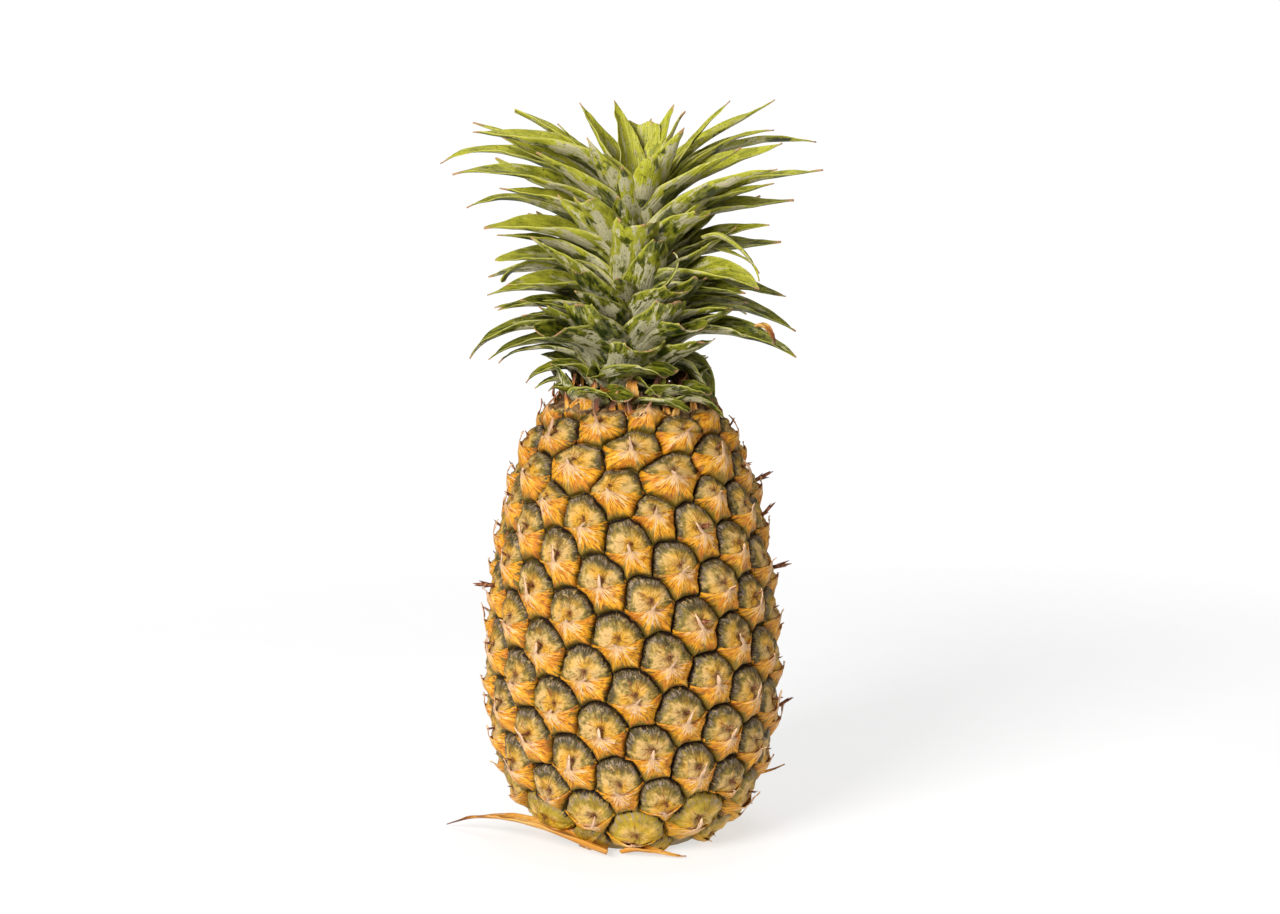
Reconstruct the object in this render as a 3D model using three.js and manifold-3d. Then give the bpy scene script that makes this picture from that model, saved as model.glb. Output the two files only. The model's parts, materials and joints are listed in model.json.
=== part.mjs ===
// A whole pineapple standing on its cut stalk: one fruit of many eyes set on a golden-angle spiral, a
// short crown stem in the fruit's top with its leaves clasping it one above the other, the stub of the
// stalk below, and two dry bracts that grow from under the fruit. Millimetres, +Z up, the origin at the
// middle of the flat base. The front faces -Y and +X is to its right.
import * as THREE from "three";
import { ConvexHull } from "three/addons/math/ConvexHull.js";
import { mergeVertices } from "three/addons/utils/BufferGeometryUtils.js";
import Module from "manifold-3d";

const { lerp, smoothstep, degToRad } = THREE.MathUtils;
const wasm = await Module();
wasm.setup();

// ---- Driving dimensions -------------------------------------------------------------------------
const GAP = 0.35; // clearance between pieces that touch
const GOLDEN_ANGLE = degToRad(137.46); // turn from one eye to the next

const FRUIT_HEIGHT = 195;
const FRUIT_OUTLINE = [
  // radius, height: the mean skin from the flat base to the flat top
  [29, 0],
  [43.5, 11],
  [56, 33],
  [61, 68],
  [59.5, 102],
  [55, 135],
  [46, 166],
  [35, 187],
  [24, FRUIT_HEIGHT],
];
const PROFILE_STEPS = 2000;
const EYE_AREA = 432; // skin that each eye covers, in square millimetres, up to the fruit's widest part
const TOP_EYE_SHARE = 0.78; // the share of that area that an eye at the top covers
const EYE_SHRINK_FROM = 97; // height where the eyes start to get smaller
const EYE_PHASE = degToRad(21); // azimuth of the lowest eye
const TOP_TWIST = degToRad(9); // turn that the eyes gain besides, between the two heights below
const TWIST_HEIGHTS = [110, 200];
const EYE_RISE = 1.7; // how far an eye stands over the mean skin
const SHOULDER_RISE = 1.2; // the same at the rim of its flat middle
const GROOVE_DEPTH = 1.5; // how far the seams lie under the mean skin
const EYE_FLAT = 0.6; // share of an eye that is its flat middle
const BASE_RIM_POINTS = 26;
const TOP_RIM_POINTS = 18;

const STALK_RADIUS = 12.5;
const STALK_LENGTH = 10;
const STALK_BEVEL = 1.5;

const BRACT_THICKNESS = 1.2;
const BRACT_HALF_ARC = degToRad(62); // half the arc of a bract's channelled cross-section
const LONG_BRACT = {
  // it sweeps round the foot of the fruit and out to the left
  route: [[-11, -40, 1.6], [-34, -43, 7], [-58, -10, 14], [-82, 6, 1.2]],
  width: 13,
};
const SHORT_BRACT = {
  route: [[-4, -38, 1.4], [4, -42, 1.8], [12, -44, 1.6], [23, -43, 1]],
  width: 8,
};

const STEM_FOOT = 188; // the crown stem stands in a socket in the fruit's top
const STEM_TOP = 261;
const STEM_FOOT_RADIUS = 14.5;
const STEM_TOP_RADIUS = 6;
const STEM_OFFSET = -2; // the stem's sideways place at the top of the fruit
const STEM_LEAN = 0.05; // and how far it leans to the right per millimetre of height
const ROUND_SIDES = 28;

const BLADE_STATIONS = 9; // rings along a leaf or bract
const TIP_STATION = 9.7; // where its tip lies, in the spacing of the rings
const BLADE_SECTION = [
  // a ring's corners: place across from edge to edge, and face from outer to inner
  [-1, 0],
  [-0.45, 1],
  [0.45, 1],
  [1, 0],
  [0.45, -1],
  [-0.45, -1],
];
const LEAF_THICKNESS = 1;
const TIP_THINNING = 0.6; // share of its thickness that a blade has at its tip
const ROOT_NARROWING = 0.45; // share of its width that a leaf has at its root
const FULL_WIDTH_AT = 0.3; // share of its length where a leaf is widest
const CHANNEL = 0.45; // radius of a leaf's hollow channel as a share of its width
const ROOT_HUG = 0.9; // radius of that hollow at the root as a share of the way to the stem's axis
const CLASP = degToRad(52); // half the arc of stem that a root takes in
const LOW_ROOT_LIFT = 55; // degrees above level at which the lowest leaf leaves the stem
const HIGH_ROOT_LIFT = 74;

// The leaves that the front shows, lowest first. Each is its azimuth in degrees (0 front, 90 right), the
// height of its root, how far its tip reaches from the stem, the tip's height and inclination, the
// leaf's width, and how blunt its tip is.
const FRONT_LEAVES = [
  [-80, 196, 44, 199, -55, 14, 0],
  [-34, 198, 30, 203, -60, 20, 0.25],
  [24, 198, 33, 196, -50, 20, 0.15],
  [82, 199, 36, 185, -78, 24, 0.1],
  [10, 200, 40, 213, -4, 32, 0.6],
  [-88, 202, 60, 208, -42, 17, 0],
  [-44, 203, 50, 219, -2, 31, 0.6],
  [72, 206, 74, 212, -34, 24, 0],
  [-86, 208, 68, 209, -62, 22, 0],
  [36, 209, 48, 222, 0, 28, 0.6],
  [98, 212, 72, 219, -34, 20, 0],
  [-28, 215, 48, 242, 14, 27, 0.1],
  [-74, 214, 58, 231, -18, 22, 0],
  [28, 220, 46, 239, 14, 28, 0.5],
  [-96, 219, 62, 235, -20, 19, 0],
  [62, 223, 54, 236, -4, 24, 0.1],
  [-60, 224, 60, 243, -6, 22, 0.2],
  [-8, 227, 42, 247, 16, 20, 0.2],
  [92, 226, 66, 238, -14, 20, 0],
  [-88, 230, 60, 250, -4, 21, 0.3],
  [58, 231, 62, 239, -66, 30, 0.3],
  [4, 236, 38, 265, 22, 28, 0.75],
  [96, 234, 64, 258, 10, 19, 0],
  [-70, 238, 66, 266, -6, 25, 0.1],
  [42, 242, 46, 270, -22, 30, 0.4],
  [-98, 241, 72, 272, -30, 20, 0],
  [-32, 245, 42, 277, 16, 26, 0.5],
  [92, 245, 68, 276, 10, 19, 0],
  [88, 249, 80, 289, 8, 22, 0],
  [-76, 251, 78, 288, -16, 28, 0],
  [-98, 253, 84, 288, -34, 20, 0],
  [64, 254, 76, 292, -12, 26, 0],
  [-12, 257, 26, 292, 58, 26, 0],
  [108, 257, 82, 299, -10, 19, 0],
  [-70, 261, 72, 306, 2, 29, 0],
  [36, 262, 34, 308, 48, 28, 0.15],
  [-104, 264, 72, 311, 18, 20, 0],
  [98, 264, 60, 318, 32, 20, 0],
  [-112, 267, 26, 317, 62, 19, 0],
  [128, 268, 20, 316, 66, 15, 0],
];
const BACK_LEAF_COUNT = 14; // more leaves, by rule, over the side that the front hides
const BACK_LEAF_TURNS = [-14, 38, -48, 14, 58, -30]; // degrees from the back, one after another
const BACK_ROOTS = [200, 268]; // of the lowest and the highest leaf, as in the next lines
const BACK_RISES = [5, 50]; // tip over root
const BACK_TIP_LIFTS = [-45, 60];
const BACK_WIDTHS = [24, 19];
const BACK_REACHES = [64, 76]; // at the two ends and half way up
const BACK_GATHER_FROM = 0.75; // share of the way up from where the leaves gather over the stem
const BACK_GATHERED = 0.25; // share of its reach that the highest leaf keeps

// What a leaf can give where it would meet another: a turn, a slide of its root, a raise of its tip and
// a narrowing. The least give is tried first.
const TURNS = [0, 2, -2, 4, -4, 7, -7, 10, -10, 14, -14];
const SLIDES = [0, 1, -1, 2, -2, 3, -3, 4, -4];
const RAISES = [0, 3, -3, 6, -6, 9, -9];
const NARROWINGS = [1, 0.85, 0.7];
const SLIDE_COST = 2; // against a cost of 1 for a degree of turn or a millimetre of raise
const NARROWING_COST = 40;
const CLEAR_VOLUME = 0.01; // overlap, in cubic millimetres, that counts as none

// ---- Small helpers ------------------------------------------------------------------------------
// The compass direction of an azimuth: 0 is the front (-Y), a quarter turn is the right (+X).
function outward(azimuth) {
  return new THREE.Vector3(Math.sin(azimuth), -Math.cos(azimuth), 0);
}

function stemAxis(z) {
  return new THREE.Vector3(STEM_OFFSET + STEM_LEAN * (z - FRUIT_HEIGHT), 0, z);
}

function stemRadius(z) {
  return lerp(STEM_FOOT_RADIUS, STEM_TOP_RADIUS, smoothstep(z, FRUIT_HEIGHT, STEM_TOP));
}

function solidOf(geometry) {
  const bare = geometry.clone();
  for (const name of Object.keys(bare.attributes)) {
    if (name !== "position") bare.deleteAttribute(name);
  }
  const merged = mergeVertices(bare, 1e-3);
  const triVerts = new Uint32Array(merged.index.array);
  const vertProperties = merged.attributes.position.array;
  return new wasm.Manifold(new wasm.Mesh({ numProp: 3, vertProperties, triVerts }));
}

function geometryOf(solid) {
  const mesh = solid.getMesh();
  const geometry = new THREE.BufferGeometry();
  geometry.setAttribute("position", new THREE.BufferAttribute(mesh.vertProperties, 3));
  return geometry.setIndex(new THREE.BufferAttribute(mesh.triVerts, 1));
}

function geometryFrom(points, triangles) {
  const numbers = points.flatMap((point) => point.toArray());
  const geometry = new THREE.BufferGeometry();
  geometry.setAttribute("position", new THREE.Float32BufferAttribute(numbers, 3));
  return geometry.setIndex(triangles.flat());
}

function piece(name, geometry, color, roughness) {
  const mesh = new THREE.Mesh(geometry, new THREE.MeshStandardMaterial({ color, roughness, metalness: 0 }));
  mesh.name = name;
  return mesh;
}

// ---- The fruit ----------------------------------------------------------------------------------
// The outline as a smooth curve. Each point knows how many eyes the skin below it holds, and its level:
// the way along the skin from the middle, measured in radii of the fruit.
function fruitProfile() {
  const curve = new THREE.SplineCurve(FRUIT_OUTLINE.map(([radius, z]) => new THREE.Vector2(radius, z)));
  const points = curve.getSpacedPoints(PROFILE_STEPS);
  let eyes = 0;
  let level = 0;
  const profile = points.map((point, i) => {
    const behind = points[Math.max(i - 1, 0)];
    const ahead = points[Math.min(i + 1, PROFILE_STEPS)];
    const step = point.distanceTo(behind);
    const skin = Math.PI * (point.x + behind.x) * step;
    const shrink = Math.max(0, (point.y - EYE_SHRINK_FROM) / (FRUIT_HEIGHT - EYE_SHRINK_FROM));
    eyes += skin / (EYE_AREA * lerp(1, TOP_EYE_SHARE, shrink));
    level += step / point.x;
    const along = ahead.clone().sub(behind).normalize();
    return { radius: point.x, z: point.y, eyes, level, outR: along.y, outZ: -along.x };
  });
  for (const at of profile) at.level -= level / 2;
  return profile;
}

// A knot of the skin, with its place on a ball. The skin is spread over the ball without skew, so that
// near neighbours on the skin are near neighbours on the ball.
function skinKnot(azimuth, at, isEye) {
  const out = outward(azimuth);
  const point = out.clone().multiplyScalar(at.radius).setZ(at.z);
  const normal = out.clone().multiplyScalar(at.outR).setZ(at.outZ);
  const ball = out.clone().divideScalar(Math.cosh(at.level)).setZ(Math.tanh(at.level));
  return { point, normal, ball, isEye };
}

// Each eye takes its own area of skin, a golden angle on from the eye before it.
function eyeCentres(profile) {
  const count = Math.floor(profile.at(-1).eyes);
  return Array.from({ length: count }, (_, n) => {
    const at = profile.find((p) => p.eyes >= n + 0.5);
    const twist = TOP_TWIST * smoothstep(at.z, ...TWIST_HEIGHTS);
    return skinKnot(EYE_PHASE - n * GOLDEN_ANGLE - twist, at, true);
  });
}

function rim(at, count) {
  return Array.from({ length: count }, (_, i) => skinKnot((i / count) * 2 * Math.PI, at, false));
}

// The triangles between neighbouring eyes, found by wrapping their places on the ball in a hull.
function neighbourTriangles(knots) {
  const knotAt = new Map(knots.map((knot) => [knot.ball, knot]));
  const hull = new ConvexHull().setFromPoints(knots.map((knot) => knot.ball));
  return hull.faces.map((face) => {
    const edges = [face.edge, face.edge.next, face.edge.prev];
    return edges.map((edge) => knotAt.get(edge.head().point));
  });
}

// Each triangle of neighbours has the corner of three seams at its middle. An eye is a flat ring of
// points round its centre, with walls that go down from the ring to the seams.
function eyedSkin() {
  const profile = fruitProfile();
  const rims = [...rim(profile[0], BASE_RIM_POINTS), ...rim(profile.at(-1), TOP_RIM_POINTS)];
  const knots = [...eyeCentres(profile), ...rims];
  const raised = ({ point, normal, isEye }) => point.clone().addScaledVector(normal, isEye ? EYE_RISE : 0);
  const points = knots.map(raised);
  const indexOf = new Map(knots.map((knot, i) => [knot, i]));
  const edgeKey = (from, to) => indexOf.get(from) + "," + indexOf.get(to);

  const halfEdges = new Map();
  for (const corners of neighbourTriangles(knots)) {
    const middle = new THREE.Vector3();
    const normal = new THREE.Vector3();
    for (const knot of corners) {
      middle.addScaledVector(knot.point, 1 / 3);
      normal.add(knot.normal);
    }
    const eyes = corners.filter((knot) => knot.isEye);
    const depth = (GROOVE_DEPTH * eyes.length) / 3;
    const seam = points.push(middle.clone().addScaledVector(normal.normalize(), -depth)) - 1;
    const shoulders = new Map();
    for (const knot of eyes) {
      const edge = knot.point.clone().lerp(middle, EYE_FLAT).addScaledVector(knot.normal, SHOULDER_RISE);
      shoulders.set(knot, points.push(edge) - 1);
    }
    corners.forEach((knot, i) => {
      const next = corners[(i + 1) % 3];
      halfEdges.set(edgeKey(knot, next), { knot, next, seam, shoulders });
    });
  }

  const triangles = [];
  for (const { knot, next, seam, shoulders } of halfEdges.values()) {
    const across = halfEdges.get(edgeKey(next, knot));
    const centre = indexOf.get(knot);
    if (knot.isEye) {
      const near = shoulders.get(knot);
      const far = across.shoulders.get(knot);
      triangles.push([centre, far, near], [far, across.seam, seam], [far, seam, near]);
    } else if (next.isEye) {
      triangles.push([centre, across.seam, seam]);
    } else {
      triangles.push([centre, indexOf.get(next), seam]);
    }
  }
  return geometryFrom(points, triangles);
}

function upright(radius, length, foot) {
  const round = new THREE.CylinderGeometry(radius, radius, length, ROUND_SIDES).rotateX(Math.PI / 2);
  return round.translate(foot.x, foot.y, foot.z + length / 2);
}

function fruit() {
  const slab = FRUIT_HEIGHT;
  const ground = new THREE.BoxGeometry(slab, slab, slab).translate(0, 0, -slab / 2);
  const stalkHole = upright(STALK_RADIUS + GAP, STALK_LENGTH + GAP + slab, new THREE.Vector3(0, 0, -slab));
  const leanRoom = STEM_LEAN * (FRUIT_HEIGHT - STEM_FOOT);
  const socket = upright(STEM_FOOT_RADIUS + GAP + leanRoom, slab, stemAxis(STEM_FOOT - GAP));
  let solid = solidOf(eyedSkin());
  for (const cut of [ground, stalkHole, socket]) solid = solid.subtract(solidOf(cut));
  return piece("fruit", geometryOf(solid), 0xb98a2e, 0.6);
}

function stalkStub() {
  const outline = [
    [0, 0],
    [STALK_RADIUS, 0],
    [STALK_RADIUS, STALK_LENGTH - STALK_BEVEL],
    [STALK_RADIUS - STALK_BEVEL, STALK_LENGTH],
    [0, STALK_LENGTH],
  ].map(([radius, z]) => new THREE.Vector2(radius, z));
  const stub = new THREE.LatheGeometry(outline, ROUND_SIDES).rotateX(Math.PI / 2);
  return piece("stalk_stub", stub, 0x9c7a4a, 0.8);
}

// ---- The crown ----------------------------------------------------------------------------------
function crownStem() {
  const levels = 6;
  const outline = [new THREE.Vector2(0, STEM_FOOT), new THREE.Vector2(STEM_FOOT_RADIUS, STEM_FOOT)];
  for (let i = 0; i <= levels; i++) {
    const z = lerp(FRUIT_HEIGHT, STEM_TOP, i / levels);
    outline.push(new THREE.Vector2(stemRadius(z), z));
  }
  outline.push(new THREE.Vector2(0, STEM_TOP + STEM_TOP_RADIUS / 3));
  const stem = new THREE.LatheGeometry(outline, ROUND_SIDES).rotateX(Math.PI / 2);
  stem.applyMatrix4(new THREE.Matrix4().makeShear(0, 0, 0, 0, STEM_LEAN, 0));
  return piece("crown_stem", stem.translate(stemAxis(0).x, 0, 0), 0xa9ab6a, 0.8);
}

// A blade is a thin curved plate along its spine: rings of six points, thickest along the middle, with a
// point that closes each end. halfWidth and hollow are functions of the share of its length.
function bladeGeometry({ spine, halfWidth, hollow, thickness }) {
  const points = [spine.getPointAt(0)];
  for (let k = 0; k <= BLADE_STATIONS; k++) {
    const share = k / TIP_STATION;
    const point = spine.getPointAt(share);
    const along = spine.getTangentAt(share);
    const side = new THREE.Vector3(-along.y, along.x, 0).normalize();
    const inner = along.clone().cross(side);
    const radius = hollow(share, point);
    const half = halfWidth(share, point);
    const thick = thickness * lerp(1, TIP_THINNING, share);
    for (const [u, face] of BLADE_SECTION) {
      const arc = (u * half) / radius;
      const rise = radius * (1 - Math.cos(arc)) + (face * thick) / 2;
      const across = point.clone().addScaledVector(side, radius * Math.sin(arc));
      points.push(across.addScaledVector(inner, rise));
    }
  }
  const tip = points.push(spine.getPointAt(1)) - 1;
  const n = BLADE_SECTION.length;
  const end = tip - n;
  const triangles = [];
  for (let i = 0; i < n; i++) {
    const j = (i + 1) % n;
    triangles.push([0, 1 + i, 1 + j], [end + j, end + i, tip]);
    for (let a = 1; a < end; a += n) {
      triangles.push([a + j, a + i, a + n + j], [a + n + j, a + i, a + n + i]);
    }
  }
  return geometryFrom(points, triangles);
}

// A leaf leaves the stem steeply and ends at its tip, inclined as the tip is.
function leafGeometry(leaf, thickness) {
  const out = outward(degToRad(leaf.azimuth));
  const inclined = (degrees) => {
    const lift = degToRad(degrees);
    return out.clone().multiplyScalar(Math.cos(lift)).setZ(Math.sin(lift));
  };
  const axis = stemAxis(leaf.root);
  const up = (leaf.root - FRUIT_HEIGHT) / (STEM_TOP - FRUIT_HEIGHT);
  const rootLift = lerp(LOW_ROOT_LIFT, HIGH_ROOT_LIFT, up);
  const root = axis.clone().addScaledVector(out, stemRadius(leaf.root) + GAP + LEAF_THICKNESS / 2);
  const tip = axis.clone().addScaledVector(out, leaf.reach).setZ(leaf.tipHeight);
  const handle = root.distanceTo(tip) / 3;
  const rootHandle = root.clone().addScaledVector(inclined(rootLift), handle);
  const tipHandle = tip.clone().addScaledVector(inclined(leaf.tipLift), -handle);
  const spine = new THREE.CubicBezierCurve3(root, rootHandle, tipHandle, tip);

  const reachAt = (point) => Math.hypot(point.x - stemAxis(point.z).x, point.y);
  const halfWidth = (share, point) => {
    const rootShare = lerp(ROOT_NARROWING, 1, smoothstep(share, 0, FULL_WIDTH_AT));
    const taper = lerp(1, leaf.blunt, share ** 2);
    return Math.min((leaf.width / 2) * rootShare * taper, CLASP * reachAt(point));
  };
  const hollow = (share, point) => {
    const clasping = smoothstep(share, 0, FULL_WIDTH_AT);
    return lerp(reachAt(point) * ROOT_HUG, leaf.width * CHANNEL, clasping);
  };
  return bladeGeometry({ spine, halfWidth, hollow, thickness });
}

// The leaves behind the stem, from the lowest to the highest.
function backLeaf(index) {
  const up = index / (BACK_LEAF_COUNT - 1);
  const azimuth = 180 + BACK_LEAF_TURNS[index % BACK_LEAF_TURNS.length];
  const root = lerp(...BACK_ROOTS, up);
  const gathered = lerp(1, BACK_GATHERED, smoothstep(up, BACK_GATHER_FROM, 1));
  const reach = lerp(...BACK_REACHES, Math.sin(Math.PI * up)) * gathered;
  const tipHeight = root + lerp(...BACK_RISES, up);
  return [azimuth, root, reach, tipHeight, lerp(...BACK_TIP_LIFTS, up), lerp(...BACK_WIDTHS, up), 0];
}

// Leaves are laid from the lowest up, and one that would meet another gives way a little.
function crownLeaves(neighbours) {
  const turnsAndSlides = TURNS.flatMap((turn) => SLIDES.map((slide) => ({ turn, slide })));
  const give = turnsAndSlides.flatMap((way) =>
    RAISES.flatMap((raise) => NARROWINGS.map((narrowing) => ({ ...way, raise, narrowing }))),
  );
  const cost = ({ turn, slide, raise, narrowing }) =>
    Math.abs(turn) + SLIDE_COST * Math.abs(slide) + Math.abs(raise) + NARROWING_COST * (1 - narrowing);
  give.sort((a, b) => cost(a) - cost(b));

  const backLeaves = Array.from({ length: BACK_LEAF_COUNT }, (_, index) => backLeaf(index));
  const rows = [...FRONT_LEAVES, ...backLeaves].sort((a, b) => a[1] - b[1]);
  const placed = neighbours.map((mesh) => solidOf(mesh.geometry));
  return rows.map(([azimuth, root, reach, tipHeight, tipLift, width, blunt], index) => {
    const trials = give.map(({ turn, slide, raise, narrowing }) => ({
      azimuth: azimuth + turn,
      root: root + slide,
      reach,
      tipHeight: tipHeight + raise,
      tipLift,
      width: width * narrowing,
      blunt,
    }));
    const leaf = trials.find((trial) => {
      const roomy = solidOf(leafGeometry(trial, LEAF_THICKNESS + GAP));
      return placed.every((other) => other.intersect(roomy).volume() < CLEAR_VOLUME);
    });
    const geometry = leafGeometry(leaf, LEAF_THICKNESS);
    placed.push(solidOf(geometry));
    return piece("crown_leaf_" + String(index + 1).padStart(2, "0"), geometry, 0x8c9a5b, 0.6);
  });
}

// A dry bract that lies on the ground beside the fruit.
function basalBract(name, { route, width }, color) {
  const spine = new THREE.CubicBezierCurve3(...route.map((point) => new THREE.Vector3(...point)));
  const halfWidth = (share) => {
    const rootShare = lerp(ROOT_NARROWING, 1, smoothstep(share, 0, FULL_WIDTH_AT));
    return (width / 2) * rootShare * (1 - share ** 2);
  };
  const hollow = () => width / 2 / BRACT_HALF_ARC;
  return piece(name, bladeGeometry({ spine, halfWidth, hollow, thickness: BRACT_THICKNESS }), color, 0.7);
}

const bracts = [
  basalBract("basal_bract_long", LONG_BRACT, 0xc08a30),
  basalBract("basal_bract_short", SHORT_BRACT, 0xd0a040),
];
const body = [fruit(), stalkStub(), crownStem()];
const pineapple = new THREE.Group();
pineapple.add(...body, ...bracts, ...crownLeaves(body));
export default pineapple;
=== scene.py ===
# %% [markdown]
# # A pineapple, dressed for its portrait
# A pineapple is one fruit grown together from many small ones. The CAD model gives its size, the
# spiral of its eyes and the place of every leaf. This lesson gives each of them its real surface:
# domed eyes with papery bracts, and leaves with bloom, veins and dry tips. All that is random is seeded,
# so each run gives the same fruit.

# %% Load the frame
import math
import random

import bmesh
import bpy
import numpy as np
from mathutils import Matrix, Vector, noise
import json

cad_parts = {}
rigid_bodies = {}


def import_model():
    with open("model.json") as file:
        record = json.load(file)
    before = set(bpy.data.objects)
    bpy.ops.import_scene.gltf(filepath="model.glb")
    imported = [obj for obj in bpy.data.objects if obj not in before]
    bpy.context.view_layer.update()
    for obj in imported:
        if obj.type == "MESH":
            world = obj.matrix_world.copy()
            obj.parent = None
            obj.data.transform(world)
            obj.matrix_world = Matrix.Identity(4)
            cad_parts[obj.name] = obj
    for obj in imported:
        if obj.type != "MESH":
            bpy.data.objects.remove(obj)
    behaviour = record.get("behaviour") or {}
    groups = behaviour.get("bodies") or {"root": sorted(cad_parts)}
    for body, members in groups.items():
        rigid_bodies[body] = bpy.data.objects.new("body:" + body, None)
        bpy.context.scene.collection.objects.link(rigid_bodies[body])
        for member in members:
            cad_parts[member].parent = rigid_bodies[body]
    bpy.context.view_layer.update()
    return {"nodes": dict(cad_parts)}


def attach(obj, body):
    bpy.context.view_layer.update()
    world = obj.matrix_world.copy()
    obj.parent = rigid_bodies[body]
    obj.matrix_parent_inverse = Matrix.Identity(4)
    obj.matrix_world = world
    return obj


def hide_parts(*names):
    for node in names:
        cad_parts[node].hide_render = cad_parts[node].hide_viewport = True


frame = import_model()
nodes = frame["nodes"]
MM = 0.001
SEED = 12
noise.seed_set(SEED)

# %% [markdown]
# ## Camera
# The camera looks a little down at the fruit through a long lens, from far enough that the crown and
# the base show in nearly the same perspective. It is aimed at a point a little above the middle.

# %% Camera
CAMERA_RISE = math.radians(9)
CAMERA_DISTANCE = 1.29
LENS, SENSOR = 84.375, 36
AIM = Vector((0.0032, 0, 0.1658))

bpy.ops.object.select_all(action="DESELECT")
look = Vector((0, math.cos(CAMERA_RISE), -math.sin(CAMERA_RISE)))
bpy.ops.object.camera_add(location=AIM - look * CAMERA_DISTANCE, rotation=(math.pi / 2 - CAMERA_RISE, 0, 0))
camera = bpy.context.object
camera.name = "camera"
camera.data.lens = LENS
camera.data.sensor_width = SENSOR
bpy.context.scene.camera = camera
print("camera at", [round(v, 3) for v in camera.location])

# %% [markdown]
# ## Light
# A fruit on white is lit by large soft lamps: one in front on the left that shapes the eyes, a weaker
# one on the right, and one above. The white world fills the shadows, so that the seams stay dark but
# the leaves don't go black.

# %% Light
ROOM_LIGHT, ROOM_WHITE = 0.22, 1.05


def softbox(name, at, size, power):
    """A square lamp that faces the fruit."""
    at = Vector(at)
    facing = (AIM - at).to_track_quat("-Z", "Y").to_euler()
    bpy.ops.object.light_add(type="AREA", location=at, rotation=facing)
    lamp = bpy.context.object
    lamp.name = name
    lamp.data.size = size
    lamp.data.energy = power


softbox("key_light", (-0.8, -1.3, 0.8), 0.7, 35)
softbox("fill_light", (1.3, -1.0, 0.4), 1.2, 5)
softbox("top_light", (0.1, 0.3, 1.5), 0.8, 7)

world = bpy.data.worlds.new("white_room")
world.use_nodes = True
bpy.context.scene.world = world
wires = world.node_tree
backdrop = wires.nodes["Background"]
backdrop.inputs["Color"].default_value = (1, 1, 1, 1)
seen = wires.nodes.new("ShaderNodeLightPath").outputs["Is Camera Ray"]
brightness = wires.nodes.new("ShaderNodeMapRange")
brightness.inputs["To Min"].default_value = ROOM_LIGHT
brightness.inputs["To Max"].default_value = ROOM_WHITE
wires.links.new(seen, brightness.inputs["Value"])
wires.links.new(brightness.outputs["Result"], backdrop.inputs["Strength"])
bpy.context.scene.view_settings.view_transform = "Standard"
print("lamps:", [lamp.name for lamp in bpy.data.lights])

# %% [markdown]
# ## Short ways to write nodes
# A material is a tree of small nodes. The helper below adds one node a call and gives back its output,
# so that a finish reads as a few lines of sums. What two finishes share becomes a node group.

# %% Node helpers
class Wiring:
    """Adds nodes to one tree. Each call gives back the new node's output."""

    def __init__(self, tree):
        self.tree = tree

    def node(self, kind, feeds=(), output=0, **settings):
        made = self.tree.nodes.new("ShaderNode" + kind)
        for name, value in settings.items():
            setattr(made, name, value)
        for socket, value in dict(feeds).items():
            if isinstance(value, bpy.types.NodeSocket):
                self.tree.links.new(value, made.inputs[socket])
            else:
                made.inputs[socket].default_value = value
        return made.outputs[output]

    def sum(self, operation, *values):
        return self.node("Math", enumerate(values), operation=operation)

    def times(self, *values):
        return self.sum("MULTIPLY", *values)

    def plus(self, *values):
        return self.sum("ADD", *values)

    def line(self, value, slope, start):
        """slope times value, plus start."""
        return self.sum("MULTIPLY_ADD", value, slope, start)

    def vector(self, operation, *values, output=0):
        return self.node("VectorMath", enumerate(values), output, operation=operation)

    def rise(self, value, low, high, start=0.0, end=1.0):
        """A smooth step from start to end while value goes from low to high."""
        feeds = {"Value": value, "From Min": low, "From Max": high, "To Min": start, "To Max": end}
        return self.node("MapRange", feeds, interpolation_type="SMOOTHSTEP")

    def blend(self, share, first, second):
        first, second = (v if isinstance(v, bpy.types.NodeSocket) else (*v, 1) for v in (first, second))
        feeds = {0: share, 6: first, 7: second}
        return self.node("Mix", feeds, 2, data_type="RGBA")

    def ramp(self, value, stops):
        """A colour for each value: stops are (value, colour) pairs."""
        made = self.tree.nodes.new("ShaderNodeValToRGB")
        band = made.color_ramp
        for position, _ in stops[1:-1]:
            band.elements.new(position)
        for element, (position, colour) in zip(band.elements, stops):
            element.position = position
            element.color = (*colour, 1)
        self.tree.links.new(value, made.inputs[0])
        return made.outputs[0]

    def grain(self, at, scale, detail=2.0, rough=0.5):
        return self.node("TexNoise", {"Vector": at, "Scale": scale, "Detail": detail, "Roughness": rough})

    def read(self, name):
        """The pair of numbers stored on the mesh under this name."""
        return self.node("UVMap", uv_map=name)

    def parts(self, at):
        """The X, Y and Z of a vector."""
        return self.node("SeparateXYZ", {0: at}).node.outputs

    def stretch(self, at, scale, shift=(0, 0, 0)):
        """The coordinates at, scaled along each axis and shifted as a whole."""
        return self.vector("ADD", self.vector("MULTIPLY", at, scale), shift)


def new_group(name, takes, gives):
    """An empty node group with named sockets: its wiring, its inputs and its end node."""
    tree = bpy.data.node_groups.new(name, "ShaderNodeTree")
    for label, kind in takes.items():
        tree.interface.new_socket(label, in_out="INPUT", socket_type="NodeSocket" + kind)
    for label, kind in gives.items():
        tree.interface.new_socket(label, in_out="OUTPUT", socket_type="NodeSocket" + kind)
    given = tree.nodes.new("NodeGroupInput").outputs
    end = tree.nodes.new("NodeGroupOutput")
    return Wiring(tree), given, end


def use_group(wiring, name, feeds):
    """Places the group in a tree and gives back all its outputs."""
    return wiring.node("Group", feeds, node_tree=bpy.data.node_groups[name]).node.outputs


def finish_group(wiring, end, results):
    for label, socket in results.items():
        wiring.tree.links.new(socket, end.inputs[label])


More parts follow.
